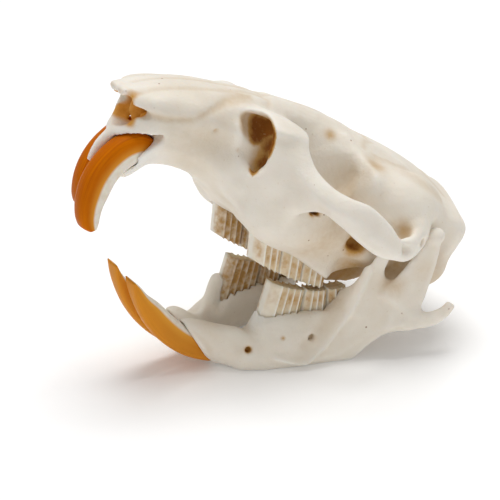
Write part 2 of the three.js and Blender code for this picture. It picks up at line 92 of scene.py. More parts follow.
# Cranium: one row for each section, from the nasal tip back
# x, setback, roof, crown, side, side height, low, low height, floor half-width, floor
CRANIUM_SECTIONS = [
    (0.0, 1.0, -0.4, 2.3, 2.9, -1.6, 2.9, -4.6, 1.4, -6.4),
    (2.0, 0.67, 0.3, 3.2, 4.2, -1.7, 4.2, -5.0, 2.4, -8.2),
    (4.3, 0.33, 1.3, 3.7, 5.3, -1.4, 5.1, -5.6, 1.8, -12.0),
    (8.0, 0.0, 2.4, 4.0, 6.0, -1.0, 5.5, -5.6, 2.4, -9.5),
    (12.0, 0.0, 3.1, 3.9, 6.4, -0.8, 5.4, -5.6, 2.4, -8.9),
    (16.0, 0.0, 3.4, 3.7, 6.4, -0.8, 5.6, -6.2, 3.0, -9.5),
    (20.0, 0.0, 3.6, 3.4, 6.0, -0.8, 5.8, -7.6, 4.2, -11.3),
    (24.0, 0.0, 3.4, 3.0, 4.6, -1.0, 5.8, -8.4, 5.4, -13.1),
    (28.0, 0.0, 3.2, 2.6, 4.0, -1.6, 5.4, -9.0, 5.6, -13.9),
    (32.0, 0.0, 3.0, 2.7, 4.8, -2.0, 5.8, -9.6, 5.8, -14.9),
    (35.5, 0.0, 2.5, 3.8, 7.6, -2.2, 6.6, -9.2, 5.8, -15.8),
    (38.0, 0.0, 2.1, 5.6, 10.6, -2.2, 7.6, -9.0, 5.2, -15.4),
    (41.0, 0.0, 1.6, 6.2, 11.4, -3.0, 8.6, -9.2, 4.4, -13.0),
    (46.0, 0.0, 0.8, 6.6, 12.0, -3.8, 9.4, -9.8, 4.4, -12.4),
    (52.0, 0.0, -0.8, 7.0, 12.0, -5.0, 9.9, -10.6, 4.6, -13.0),
    (55.2, 0.0, -2.0, 7.4, 11.4, -5.8, 9.8, -11.0, 4.2, -13.0),
    (57.0, 0.0, -3.0, 7.0, 10.2, -6.2, 8.4, -10.6, 3.8, -12.4),
    (58.3, 0.0, -4.8, 4.6, 7.0, -7.2, 5.0, -9.8, 3.0, -11.6),
]
CROWN_DROP = 0.22                 # how far the crown's edge lies under the roof, for its width
NOSE_SLOPE = 2.0
NOSE_HOLLOW = 2.3

# Zygomatic arch: x, then y and z of the bar's top, middle and bottom
ARCH_STATIONS = [
    (16.2, 4.4, 2.2, 4.8, -1.0, 4.4, -7.0),
    (18.6, 5.8, 2.3, 7.2, -1.4, 5.2, -9.6),
    (20.8, 7.6, 2.2, 9.2, -1.8, 5.8, -11.2),
    (22.9, 9.4, 1.6, 11.0, -2.6, 6.8, -12.4),
    (24.8, 11.1, 0.8, 12.6, -3.2, 7.4, -12.4),
    (26.4, 13.5, -2.0, 14.5, -4.8, 9.8, -10.8),
    (28.2, 16.0, -3.4, 16.5, -5.2, 14.8, -7.6),
    (30.5, 17.9, -3.9, 18.2, -5.8, 17.5, -8.1),
    (33.6, 18.6, -4.2, 18.7, -6.8, 18.6, -9.5),
    (37.6, 18.4, -5.9, 18.5, -8.3, 18.4, -10.8),
    (41.0, 17.5, -7.8, 17.6, -9.4, 17.5, -11.1),
    (43.8, 16.3, -7.0, 16.5, -9.2, 16.3, -11.2),
    (45.9, 14.3, -5.2, 14.8, -7.8, 14.8, -10.2),
    (46.9, 12.3, -3.8, 12.8, -6.0, 12.9, -8.2),
    (46.6, 10.0, -3.4, 10.4, -5.4, 10.4, -7.4),
]
ARCH_THICKNESS = 1.8
# Corners round the bar: 0 top, 1 middle or 2 bottom, share of half the thickness, and lift
ARCH_CORNERS = [
    (0, 0, 0), (0, 0.8, -0.4), (1, 1, 0), (2, 0.8, 0.4),
    (2, 0, 0), (2, -0.8, 0.4), (1, -1, 0), (0, -0.8, -0.4),
]

# The keyhole opening through the front root of the arch: outline square to the way through,
# then rings along it: x, y, the direction of the outline's width seen from above, and its scale
KEYHOLE_OUTLINE = [
    (-3.0, 1.2), (-1.9, 2.0), (-0.3, 2.2), (1.1, 1.7), (2.0, 0.3), (2.3, -1.6), (2.0, -4.0), (1.25, -6.0),
    (0.65, -5.3), (0.1, -3.0), (-0.9, -1.9), (-2.4, -0.4),
]
KEYHOLE_RINGS = [
    (18.4, 9.6, 0.86, 0.5, 1.05),
    (20.0, 7.0, 0.86, 0.5, 0.97),
    (22.6, 6.2, 0.5, 0.86, 0.9),
    (27.0, 6.8, 0.0, 1.0, 0.8),
]

# Lower jaw: x, lean, then y and z of six points round each section
DENTARY_SECTIONS = [
    (-12.4, 0.58, 2.2, 7.8, 3.8, 6.8, 4.4, 3.2, 2.8, 0.8, 0.3, 2.0, 0.25, 6.8),
    (-10.0, 0.4, 2.2, 7.6, 4.0, 7.0, 5.0, 3.4, 3.4, 0.5, 0.3, 2.0, 0.3, 6.0),
    (-7.2, 0.2, 3.2, 6.7, 5.0, 6.2, 6.3, 3.0, 4.8, 0.3, 1.4, 1.6, 1.6, 4.4),
    (-4.9, 0.0, 4.5, 6.2, 6.2, 5.8, 7.6, 2.6, 6.1, 0.0, 3.2, 1.2, 3.0, 4.3),
    (-2.9, 0.0, 4.9, 5.8, 6.8, 5.7, 8.3, 2.6, 7.0, -0.2, 3.8, 1.1, 3.1, 4.6),
    (-1.9, 0.0, 5.1, 7.3, 7.1, 7.2, 8.7, 2.6, 7.4, -0.3, 4.1, 1.0, 3.2, 5.3),
    (-0.8, 0.0, 5.2, 7.6, 7.3, 7.4, 9.0, 2.5, 7.6, -0.3, 4.4, 1.1, 3.3, 5.7),
    (2.5, 0.0, 5.6, 7.6, 7.9, 7.3, 9.8, 2.4, 8.3, -0.35, 4.9, 1.3, 3.4, 6.2),
    (7.5, 0.0, 6.0, 7.2, 8.9, 7.6, 10.8, 3.0, 9.3, -0.35, 6.0, 1.5, 3.8, 6.9),
    (10.6, 0.0, 9.8, 9.8, 11.2, 8.6, 11.6, 3.4, 10.3, -0.2, 8.4, 2.0, 5.0, 7.0),
    (13.6, 0.0, 11.2, 13.0, 12.0, 9.6, 12.3, 5.0, 11.6, 2.6, 10.2, 4.4, 9.0, 8.0),
    (16.6, 0.0, 12.0, 11.5, 12.9, 9.0, 13.1, 6.0, 12.5, 4.3, 11.4, 5.8, 11.2, 8.8),
    (19.0, 0.0, 12.4, 11.6, 13.3, 9.4, 13.5, 7.0, 13.2, 4.9, 12.4, 6.6, 12.0, 9.4),
    (20.6, 0.0, 12.7, 12.0, 13.3, 10.8, 13.4, 9.6, 13.2, 8.6, 12.6, 9.6, 12.4, 10.8),
]

# Bars of bone: points x, y, z along each one, its depth in the side view and its thickness
Bar = namedtuple("Bar", "path deep thin")
INCISOR_SPINE = Bar(
    [(5.6, 0, -6.6), (2.9, 0, -7.0), (1.5, 0, -8.8), (0.7, 0, -11.4)],
    [3.0, 2.4, 2.2, 1.2],
    [2.6, 1.8, 1.0, 0.7],
)
ROOT_BRIDGE = Bar(
    [(17.5, 3.6, 0.9), (20.5, 5.8, 1.4), (23.4, 8.0, 1.3), (25.0, 10.2, 0.4)],
    [1.6, 1.5, 1.4, 1.3],
    [3.0, 4.2, 4.2, 2.4],
)
KEYHOLE_TOP = Bar(
    [(16.6, 3.6, 1.9), (18.6, 4.8, 2.1), (20.8, 6.2, 2.1), (22.8, 7.8, 1.7), (24.6, 10.0, 0.6)],
    [1.0, 0.95, 0.95, 1.0, 1.4],
    [3.0, 3.2, 3.2, 3.2, 2.2],
)
PTERYGOID = Bar(
    [(37.5, 3.4, -16.2), (41.0, 3.3, -17.2), (44.5, 3.6, -16.6), (48.5, 4.6, -15.0)],
    [3.5, 5.6, 5.4, 3.0],
    [1.0, 1.0, 1.0, 1.0],
)
PAROCCIPITAL = Bar(
    [(55.4, 8.8, -9.0), (55.2, 9.0, -11.4), (54.6, 8.8, -13.4)],
    [3.6, 2.4, 1.2],
    [2.4, 1.6, 0.8],
)
NASAL_TIP_PLATE = Bar(
    [(0.7, 0.9, -0.9), (1.9, 1.2, -0.5), (4.5, 1.8, 0.4), (8.0, 2.2, 1.1)],
    [1.3, 1.1, 0.95, 0.9],
    [2.4, 2.8, 2.8, 3.0],
)
CORONOID = Bar(
    [(11.4, 10.6, 7.5), (13.2, 11.3, 12.2), (14.9, 11.7, 15.4), (16.2, 11.8, 17.2), (17.2, 11.8, 18.0)],
    [3.8, 3.2, 2.8, 2.2, 1.2],
    [1.6, 1.4, 1.2, 1.0, 0.7],
)
CONDYLE_NECK = Bar(
    [(16.8, 12.6, 8.2), (19.2, 12.9, 11.4), (20.8, 13.3, 14.4), (21.8, 13.7, 17.4)],
    [6.4, 5.8, 4.4, 2.2],
    [1.6, 1.6, 1.6, 1.5],
)
ANGULAR_PROCESS = Bar(
    [(15.5, 12.4, 6.2), (18.8, 13.2, 5.6), (21.4, 14.0, 5.4), (23.4, 14.6, 6.3), (24.4, 14.9, 7.5)],
    [3.2, 2.7, 2.2, 2.0, 1.4],
    [1.4, 1.3, 1.3, 1.2, 0.9],
)

# Incisors: centre of the curve in the side view, radius of the front face, and section
Incisor = namedtuple("Incisor", "centre front depth width midline")
INCISORS = {
    "upper": Incisor((9.75, -14.2), 10.2, 4.2, 3.3, 2.05),
    "lower": Incisor((-2.0, 17.5), 18.0, 3.6, 3.0, 1.95),
}
INCISOR_SECTION = [
    (0.0, -0.24), (0.0, 0.24), (0.12, 0.44), (0.45, 0.5), (0.86, 0.46), (1.0, 0.26),
    (1.0, -0.26), (0.86, -0.46), (0.45, -0.5), (0.12, -0.44),
]
RIGHT_SHIFT = {"upper": (1.1, 1.0), "lower": (-0.8, 0.5)}

# Along an incisor: the angle round its curve, and where its front and back faces lie, as shares
# of its depth; the worn end is measured from the angle of the tip
INCISOR_STATIONS = {
    "upper": [
        (98, 0.6, 0.85), (108, 0.3, 0.95), (118, 0.1, 1.0), (130, 0.0, 1.0), (148, 0.0, 1.0), (166, 0.0, 1.0),
    ],
    "lower": [
        (190, 0.0, 0.32), (197, 0.0, 0.56), (205, 0.0, 0.84), (214, 0.0, 0.96), (224, 0.0, 1.0),
        (236, 0.0, 1.0), (250, 0.04, 0.96),
    ],
}
TIP_STATIONS = {
    "upper": [(-24, 0.0, 0.95), (-10, 0.01, 0.8), (0, 0.03, 0.68), (5, 0.08, 0.6), (8, 0.18, 0.5)],
    "lower": [(0, 0.03, 0.12)],
}
TIP_ANGLES = {
    ("upper", "left"): 211, ("upper", "right"): 204,
    ("lower", "left"): 186.5, ("lower", "right"): 184,
}
ENAMEL_EDGE = {"upper": 0.6, "lower": 0.84}       # share of the depth that has enamel
ENAMEL_PALE = {"upper": 0.0, "lower": 0.45}

# Sockets: the gap round each tooth, how soft their edges are, and the wider mouth outside the
# upper incisors
SOCKET_GAP = 0.14
CHEEK_SOCKET_EDGE = 0.15
INCISOR_SOCKET_EDGE = 0.2
MOUTH_EDGE = 0.3
MOUTH_WIDTH = 5.6
MOUTH_MIDLINE = 3.25
MOUTH_STATIONS = [
    (106, -0.05, 0.15), (112, -0.05, 0.36), (122, -0.05, 0.56), (136, -0.05, 0.68), (150, -0.05, 0.76),
    (162, -0.05, 0.95), (180, -0.05, 1.05),
]

# Cheek tooth rows and their levels; each tooth is its length, the length of its broad first
# column and the number of narrow columns after it
Level = namedtuple("Level", "x z slope bend reach")
Row = namedtuple("Row", "teeth width y spread root rim crown")
ROWS = {
    "upper": Row(
        ((5.7, 2.2, 3), (4.05, 0.0, 3), (4.2, 0.0, 4)), 2.9, 4.9, 0.05,
        Level(24.3, -11.6, -0.34, 0.0, 1.0),
        Level(24.8, -13.5, -0.34, 0.0, 1.0),
        Level(26.3, -18.2, -0.3, 0.013, 0.91),
    ),
    "lower": Row(
        ((6.8, 2.0, 4), (4.05, 0.0, 4), (3.5, 0.0, 3)), 3.0, 5.3, 0.08,
        Level(-2.5, 5.4, 0.02, 0.0, 1.0),
        Level(-2.1, 8.0, -0.08, 0.0, 1.0),
        Level(0.0, 12.6, -0.55, 0.028, 0.8),
    ),
}
ROW_BACK = {("upper", "left"): 0.7, ("lower", "right"): -0.9}
TOOTH_GAP = 0.12
RIDGE_DEPTH = 0.34
RIDGE_WIDTH = 0.2
BUNCHED = 0.35                    # how much closer an outline's points are at its ends
BROAD_DEPTH = 0.4                 # how deep the grooves of a broad column are, as a share
BROAD_MIDDLE = 0.45
BROAD_FILL = 1.3
CROWN_WEAR = 0.16
# The worn top: share of the way from its edge to its middle, and how deep it is there
WORN_TOP = [(0.14, -0.02), (0.3, 0.25), (0.62, 0.34), (0.92, 0.2)]
WORN_REACH = 0.9
STAIN_HEIGHT = 0.72
STAIN_SPREAD = 0.22
CENTRE_STAIN = {"upper": 0.8, "lower": 0.4}

# Ridge of bone round the upper row: how far past the teeth, how deep inside, and how wide there
RIDGE_MARGIN = 0.75
RIDGE_BURIED = 4.0
RIDGE_ROOT_WIDTH = 1.05

# Lines on the bone: seen from the side (xz), from above (xy) or in space. between limits the
# axis that isn't named; depth presses the line in, and a negative depth raises it; stain is
# how tan it is
Line = namedtuple("Line", "axes path between width depth stain")
CRANIUM_LINES = [
    # premaxilla to maxilla
    Line("xz", [(3.9, -2.3), (6.7, -1.9), (9.6, -1.1), (12.8, 0.8), (16.2, 2.4), (19.4, 3.2)],
         (2.0, 9.0), 0.42, 0.22, 0.55),
    # nasal to premaxilla
    Line("xy", [(1.6, 2.7), (4.0, 3.0), (9.0, 3.1), (14.0, 2.6), (19.0, 1.5), (22.0, 1.2)],
         (-1.0, 5.0), 0.36, 0.16, 0.35),
    # between the two nasals and on along the roof
    Line("xy", [(3.0, 0.0), (24.0, 0.0)], (0.0, 6.0), 0.34, 0.16, 0.3),
    # nasals to frontals
    Line("xy", [(22.0, 0.0), (22.6, 0.7), (21.7, 1.4), (22.8, 2.2), (22.2, 3.4)],
         (1.0, 6.0), 0.3, 0.12, 0.3),
    # frontals to parietals
    Line("xy", [(41.5, 0.0), (40.6, 1.6), (41.4, 2.8), (39.4, 4.0), (38.4, 5.6)],
         (0.0, 4.0), 0.34, 0.14, 0.35),
    # parietals to the interparietal
    Line("xy", [(52.6, 0.0), (52.2, 2.6), (53.4, 4.6), (54.0, 6.4)], (-4.0, 2.0), 0.34, 0.14, 0.35),
    # squamosal edge on the brain case
    Line("xz", [(35.6, -9.6), (36.2, -4.6), (37.8, -1.2), (40.6, 0.2), (45.0, -0.6), (50.5, -2.6)],
         (6.0, 13.0), 0.45, 0.14, 0.3),
    # crest between the eyes
    Line("xyz", [(24.0, 1.0, 3.5), (29.0, 0.7, 3.3), (34.0, 1.2, 2.9), (39.0, 3.2, 2.1), (46.0, 5.6, 0.2)],
         None, 0.8, -0.35, 0.0),
    # crest in front of the brain case
    Line("xyz",
         [(35.6, 4.6, 2.0), (36.4, 6.6, 1.4), (37.1, 8.8, 0.3), (38.0, 10.8, -1.4), (38.6, 11.4, -3.4)],
         None, 0.8, -0.5, 0.0),
    # crest over the back of the skull
    Line("xyz",
         [(56.2, 0.0, -2.2), (56.0, 4.0, -2.6), (55.2, 8.0, -3.8), (54.2, 11.0, -6.0), (54.6, 10.4, -9.6)],
         None, 0.8, -0.4, 0.1),
    # ridge along the lower part of the arch
    Line("xyz",
         [(24.6, 13.0, -3.4), (27.4, 16.6, -5.6), (31.0, 19.0, -6.3), (36.0, 19.4, -8.3), (40.6, 18.5, -9.8)],
         None, 0.75, -0.42, 0.0),
    # rim in front of the keyhole opening
    Line("xyz", [(17.6, 6.9, 1.6), (16.9, 6.9, -0.4), (17.6, 6.7, -2.8), (19.0, 6.5, -5.6)],
         None, 0.6, -0.3, 0.0),
    # soft fold along the side of the snout
    Line("xz", [(7.0, -6.3), (11.0, -6.2), (15.5, -6.8), (20.0, -8.6)], (3.0, 9.0), 0.7, -0.2, 0.0),
]
DENTARY_LINES = [
    # ridge for the chewing muscle, forward along the lower edge and back up to the coronoid
    Line("xz", [(-0.8, 2.3), (1.0, 1.5), (2.9, 1.1), (5.2, 2.4), (8.7, 6.4), (11.0, 10.6), (12.6, 14.0)],
         (6.0, 15.0), 0.5, -0.5, 0.0),
    Line("xz", [(3.6, 3.4), (6.4, 5.6), (8.6, 8.4)], (7.0, 15.0), 0.8, 0.42, 0.2),
    Line("xz", [(2.9, 1.0), (8.0, 1.5), (13.0, 4.4), (17.0, 5.6)], (7.0, 15.0), 0.6, -0.2, 0.0),
    # foot of the coronoid on the inner side
    Line("xz", [(9.5, 7.0), (11.0, 9.0), (12.5, 12.6)], (4.0, 11.0), 0.7, 0.22, 0.15),
    # edge of the incisor's socket
    Line("xz", [(-12.4, 7.6), (-9.6, 4.6), (-8.6, 1.7)], (0.0, 6.0), 0.4, 0.1, 0.35),
]

# Stained places, and a few places of painted shade: centre, radius, and how tan and how brown they are
Spot = namedtuple("Spot", "at radius tan brown")
CRANIUM_SPOTS = [
    Spot((33.3, 4.1, 1.2), 0.8, 0.9, 0.15),
    Spot((38.9, 9.0, 0.0), 1.5, 0.85, 0.1),
    Spot((37.2, 7.6, -5.6), 3.4, 0.55, 0.0),
    Spot((35.0, 8.2, -11.4), 4.4, 0.62, 0.0),
    Spot((43.4, 14.4, -7.4), 1.3, 0.75, 0.2),
    Spot((46.4, 11.0, -4.2), 2.0, 0.45, 0.0),
    Spot((40.7, 8.4, -12.3), 1.45, 0.8, 1.0),
    Spot((43.6, 7.6, -13.8), 2.2, 0.6, 0.12),
    Spot((43.0, 6.2, -15.0), 3.4, 0.7, 0.4),
    Spot((43.6, 3.4, -17.2), 4.2, 0.95, 0.32),
    Spot((41.6, 3.2, -17.4), 1.1, 1.0, 0.75),
    Spot((48.0, 8.0, -14.0), 3.4, 0.75, 0.2),
    Spot((53.6, 8.8, -13.4), 3.0, 0.5, 0.15),
    Spot((22.2, 4.3, -3.8), 1.6, 0.8, 0.9),
    Spot((23.4, 4.4, -2.4), 1.9, 0.8, 1.0),
    Spot((23.4, 4.8, -4.8), 2.0, 0.8, 1.0),
    Spot((0.0, 1.4, -0.9), 1.1, 0.65, 0.1),
    Spot((34.0, 3.0, -16.5), 6.0, 0.45, 0.1),
    Spot((26.0, 4.9, -14.0), 1.6, 0.35, 0.0),
    Spot((33.0, 7.4, -15.6), 2.0, 0.35, 0.0),
    Spot((31.6, 9.6, -8.9), 0.6, 0.2, 0.85),
    Spot((30.5, 10.3, -8.9), 0.5, 0.2, 0.85),
    Spot((39.2, 8.6, -5.2), 2.0, 0.5, 0.0),
    Spot((36.6, 7.4, -11.0), 3.2, 0.5, 0.0),
    Spot((33.4, 7.6, -14.0), 2.4, 0.45, 0.0),
    Spot((15.1, 6.0, 2.8), 1.2, 0.4, 0.0),
    Spot((53.0, 0.0, -8.2), 3.4, 0.8, 0.5),
    # painted shade: the side of the snout is darkened where less light reaches it
    Spot((12.0, 5.8, -3.4), 5.6, 0.32, 0.0),
    Spot((20.0, 6.6, -7.6), 1.3, 0.3, 0.0),
]
DENTARY_SPOTS = [
    Spot((16.0, 12.4, 11.6), 1.7, 0.65, 0.1),
    Spot((20.6, 13.2, 13.4), 2.0, 0.4, 0.0),
    Spot((24.0, 14.8, 7.0), 1.6, 0.4, 0.0),
    # painted shade: dark brown inside the opening for the nerve of the chin, with a faint tan rim
    Spot((-4.2, 7.0, 3.55), 0.5, 0.3, 1.3),
    Spot((-5.2, 7.0, 3.5), 0.8, 0.35, 0.0),
    Spot((-9.0, 3.2, 6.0), 2.2, 0.3, 0.0),
    Spot((10.4, 8.4, 8.2), 1.8, 0.45, 0.05),
]

# Pores: their places, and the size and stain of each
PORES = [
    (23.6, 7.4, -8.2), (21.2, 6.6, -10.0), (22.6, 7.0, -10.8), (24.4, 8.0, -10.2),
    (26.6, 6.7, -12.8), (28.6, 7.6, -13.4), (18.2, 6.2, -3.6), (19.6, 6.2, -6.2), (20.2, 6.4, -7.0),
    (20.3, 6.6, -8.2), (19.2, 6.2, -8.0), (14.0, 6.2, -1.9), (29.6, 4.2, -0.6),
]
JAW_PORES = [(0.5, 9.0, 5.0), (4.8, 9.9, 4.3)]
PORE_SIZE = (0.28, 0.6, 0.28)
JAW_PORE_SIZE = (0.17, 1.0, 0.17)
PORE_MARK = (0.25, 0.2, 0.6)

# How far a line's stain spreads, how wide a hollow is looked for when painting shade into it, and how soon an
# edge gets a painted highlight
LINE_STAIN_WIDTH = 1.3
HOLLOW_BLUR = 14
EDGE_HIGHLIGHT_GAIN = 1.6

# The inside of the nose: where its stain and its painted glow start and where they are full, from the
# midline, the back, the top, the floor and the front; then where the painted glow, which stands in for light
# through its walls, begins
NOSE_LIMITS = {
    "out": (3.4, 2.6), "back": (13.0, 10.0), "top": (0.1, -0.7), "floor": (-5.2, -4.6), "front": (0.9, 2.1),
}
NOSE_LEAN = 0.2
NOSE_BROWN = 0.5
PAINTED_GLOW_LIMITS = (7.5, 4.5)

# The keyhole's painted shade: where it starts and is full, then how brown it is for the distance from
# its wall, for the distance from the nasal tip and for the depth under the tip
KEYHOLE_EDGE = (0.3, 0.0)
KEYHOLE_INSIDE = ((-0.9, -0.5), (0.2, 1.0))
KEYHOLE_FRONT = ((19.0, 20.5), (0.13, 1.0))
KEYHOLE_DOWN = ((-1.95, -0.6), (0.25, 1.0))
KEYHOLE_SHADE_TAN = 0.6

# Lights and their aim, in metres
KEY_PLACE = (0.05, 0.1, 0.75)
FILL_PLACE = (-0.45, -0.6, 0.3)
LIGHT_AIM = (0.0, 0.0, 0.02)
LIGHT_SIZE = 0.5


# Smooth lines and rings

def ramp(value, start, full):
    """How far a value is on its way from a start to where it is full, from 0 to 1."""
    return np.clip((value - start) / (full - start), 0, 1)


def bell(away, width):
    """1 at no distance, and softly less with more."""
    return np.exp(-((away / width) ** 2))


def curve(points, keys, at):
    """Points on the smooth curve that passes through each point at its key."""
    points = np.asarray(points, dtype=float)
    keys = np.asarray(keys, dtype=float)
    slopes = np.gradient(points, keys, axis=0)
    index = np.clip(np.searchsorted(keys, at, side="right") - 1, 0, len(keys) - 2)
    spread = (-1,) + (1,) * (points.ndim - 1)
    span = (keys[index + 1] - keys[index]).reshape(spread)
    t = (np.asarray(at) - keys[index]).reshape(spread) / span
    start = (2 * t**3 - 3 * t**2 + 1) * points[index] + (t**3 - 2 * t**2 + t) * span * slopes[index]
    end = (3 * t**2 - 2 * t**3) * points[index + 1] + (t**3 - t**2) * span * slopes[index + 1]
    return start + end


def even_points(line, count, closed=False):
    """Evenly spaced points along a line of many points."""
    lengths = np.concatenate([[0], np.cumsum(np.linalg.norm(np.diff(line, axis=0), axis=1))])
    at = np.linspace(0, lengths[-1], count, endpoint=not closed)
    return np.stack([np.interp(at, lengths, column) for column in line.T], axis=1)


def chord_keys(points):
    """Keys for a smooth curve, from the root of the distance between neighbours."""
    return np.concatenate([[0], np.cumsum(np.sqrt(np.linalg.norm(np.diff(points, axis=0), axis=1)))])


def smooth_path(points, count):
    """Evenly spaced points on the smooth open curve through some points."""
    points = np.asarray(points, dtype=float)
    keys = chord_keys(points)
    return even_points(curve(points, keys, np.linspace(0, keys[-1], 8 * count)), count)


def smooth_ring(corners, count):
    """Evenly spaced points on the smooth closed curve through some corners."""
    corners = np.asarray(corners, dtype=float)
    wrapped = np.concatenate([corners[-2:], corners, corners[:3]])
    keys = chord_keys(wrapped)
    dense = curve(wrapped, keys, np.linspace(keys[2], keys[-3], 6 * count + 1))
    return even_points(dense, count, closed=True)


def skin(rings):
    """Points, quads and end triangles of the closed form through rings of equally many points."""
    rings = np.asarray(rings, dtype=float)
    count, around = rings.shape[:2]
    points = np.concatenate([rings.reshape(-1, 3), rings[[0, -1]].mean(axis=1)])
    first = np.arange(around)
    following = np.roll(first, -1)
    bands = around * np.arange(count - 1)[:, None]
    corners = [bands + first, bands + following, bands + around + following, bands + around + first]
    quads = np.stack(corners, axis=-1).reshape(-1, 4)
    middles = count * around + np.arange(2)
    last = around * (count - 1)
    front = np.stack([following, first, np.full(around, middles[0])], axis=1)
    back = np.stack([last + first, last + following, np.full(around, middles[1])], axis=1)
    return points, quads, np.concatenate([front, back])


# Volumes of bone

Form = namedtuple("Form", "distance low high")
JOIN, CARVE = 1, -1


def smooth_min(first, second, blend):
    """The smaller of two distances, with a soft transition where they are close."""
    if not blend:
        return np.minimum(first, second)
    near = np.maximum(blend - np.abs(first - second), 0) / blend
    return np.minimum(first, second) - near * near * blend / 4


def ball(at, radii, turn=0.0):
    """An ellipsoid, turned in the plan."""
    at = np.array(at, dtype=float)
    radii = np.array(radii, dtype=float)
    cosine, sine = math.cos(turn), math.sin(turn)

    def distance(x, y, z):
        dx, dy, dz = x - at[0], y - at[1], z - at[2]
        own = (dx * cosine + dy * sine, dy * cosine - dx * sine, dz)
        size = np.sqrt(sum((part / radius) ** 2 for part, radius in zip(own, radii)))
        slope = np.sqrt(sum((part / radius**2) ** 2 for part, radius in zip(own, radii)))
        return size * (size - 1) / np.maximum(slope, 1e-6)

    reach = np.array([max(radii[:2])] * 2 + [radii[2]]) if turn else radii
    return Form(distance, at - reach, at + reach)


def line_distance(path, place, axes="xyz"):
    """How far each place is from a line, in space or in the view that axes names."""
    chosen = [place["xyz".index(axis)] for axis in axes]
    path = np.asarray(path, dtype=float)
    nearest = np.inf
    for start, end in zip(path[:-1], path[1:]):
        along = end - start
        offset = [part - begin for part, begin in zip(chosen, start)]
        t = np.clip(sum(part * step for part, step in zip(offset, along)) / (along @ along), 0, 1)
        gap = sum((part - t * step) ** 2 for part, step in zip(offset, along))
        nearest = np.minimum(nearest, gap)
    return np.sqrt(nearest)


def strand(path, radius, count=12):
    """A round strand along a smooth path."""
    path = smooth_path(path, count)
    return Form(
        lambda x, y, z: line_distance(path, (x, y, z)) - radius,
        path.min(axis=0) - radius,
        path.max(axis=0) + radius,
    )


def soften(values, times):
    """A blur over neighbouring cells, repeated."""
    for _ in range(times):
        for axis in range(3):
            moved = np.moveaxis(values, axis, 0)
            middle = (moved[:-2] + 2 * moved[1:-1] + moved[2:]) / 4
            moved[1:-1] = middle
    return values


class Volume:
    """Signed distances to the surface of a piece of bone, negative inside."""

    def __init__(self, space, step):
        self.step = step
        self.low = np.array(space[0], dtype=float)
        counts = np.ceil((np.array(space[1]) - self.low) / step).astype(int) + 1
        self.axes = [low + step * np.arange(count) for low, count in zip(self.low, counts)]
        self.value = np.full(counts, BAND * step, dtype=np.float32)

    def window(self, low, high):
        """The cells between two corners, and their places."""
        spans = tuple(
            slice(*np.searchsorted(axis, edges)) for axis, edges in zip(self.axes, zip(low, high))
        )
        place = np.ix_(*(axis[span] for axis, span in zip(self.axes, spans)))
        return spans, place

    def loft(self, rings):
        """Distances to the closed form through rings."""
        points, quads, ends = skin(rings)
        grid = openvdb.FloatGrid.createLevelSetFromPolygons(
            (points - self.low).astype(np.float32),
            triangles=ends.astype(np.uint32),
            quads=quads.astype(np.uint32),
            transform=openvdb.createLinearTransform(voxelSize=self.step),
            halfWidth=float(BAND),
        )
        values = np.zeros(self.value.shape, dtype=np.float32)
        grid.copyToArray(values)
        return values

    def merge(self, form, blend, sign):
        """Joins or carves a form, given as distances on the grid or as a formula."""
        if isinstance(form, np.ndarray):
            self.value = sign * smooth_min(sign * self.value, form, blend)
            return
        reach = blend + 2 * self.step
        spans, place = self.window(form.low - reach, form.high + reach)
        self.value[spans] = sign * smooth_min(sign * self.value[spans], form.distance(*place), blend)

    def join(self, form, blend=0.0):
        self.merge(form, blend, JOIN)

    def carve(self, form, blend=0.0):
        self.merge(form, blend, CARVE)

    def shape(self, steps):
        """Joins forms to the bone and carves forms out of it, in turn.

        A form is a bar, a function that gives the rings of a loft, or a formula."""
        for sign, form, blend in steps:
            if isinstance(form, Bar):
                form = self.loft(bar_rings(form))
            elif callable(form):
                form = self.loft(form())
            self.merge(form, blend, sign)

    def press(self, line):
        """Presses a line into the surface, or raises it where its depth is negative."""
        path = smooth_path(line.path, 6 * len(line.path))
        margin = 2.5 * line.width
        low, high = [], []
        for axis, name in enumerate("xyz"):
            if name in line.axes:
                column = path[:, line.axes.index(name)]
                low.append(column.min() - margin)
                high.append(column.max() + margin)
            else:
                low.append(line.between[0])
                high.append(line.between[1])
        spans, place = self.window(low, high)
        away = line_distance(path, place, line.axes)
        self.value[spans] += line.depth * bell(away, line.width)

    def roughen(self, size, height, seed):
        """Adds soft, irregular swelling, as real bone has."""
        coarse = [max(2, int(len(axis) * self.step / size)) for axis in self.axes]
        lumps = np.random.default_rng(seed).normal(size=coarse)
        for axis, (count, cells) in enumerate(zip(self.value.shape, coarse)):
            at = np.linspace(0, cells - 1, count)
            lumps = curve(np.moveaxis(lumps, axis, 0), np.arange(cells), at)
            lumps = np.moveaxis(lumps, 0, axis)
        self.value += (height * lumps).astype(np.float32)

    def mirrored(self):
        """The same form with its other half, across y = 0."""
        whole = Volume.__new__(Volume)
        whole.step = self.step
        whole.low = self.low * (1, 0, 1) - np.array([0, self.axes[1][-1], 0])
        whole.value = np.concatenate([self.value[:, :0:-1], self.value], axis=1)
        whole.axes = [self.axes[0], whole.low[1] + self.step * np.arange(whole.value.shape[1]), self.axes[2]]
        return whole

    def surface(self):
        """Points and quads of the surface."""
        grid = openvdb.FloatGrid(float(BAND * self.step))
        grid.copyFromArray(np.ascontiguousarray(self.value, dtype=np.float32))
        grid.transform = openvdb.createLinearTransform(voxelSize=self.step)
        points, _, quads = grid.convertToPolygons(isovalue=0.0, adaptivity=0.0)
        return points.astype(float) + self.low, quads.astype(int)

    def sample(self, values, points):
        """Values of a grid of this volume's size at some points."""
        at = (points - self.low) / self.step
        index = np.clip(at.astype(int), 0, np.array(self.value.shape) - 2)
        part = at - index
        total = 0.0
        for corner in np.ndindex(2, 2, 2):
            weight = np.prod(np.where(corner, part, 1 - part), axis=1)
            total = total + weight * values[tuple((index + corner).T)]
        return total


# Cranium

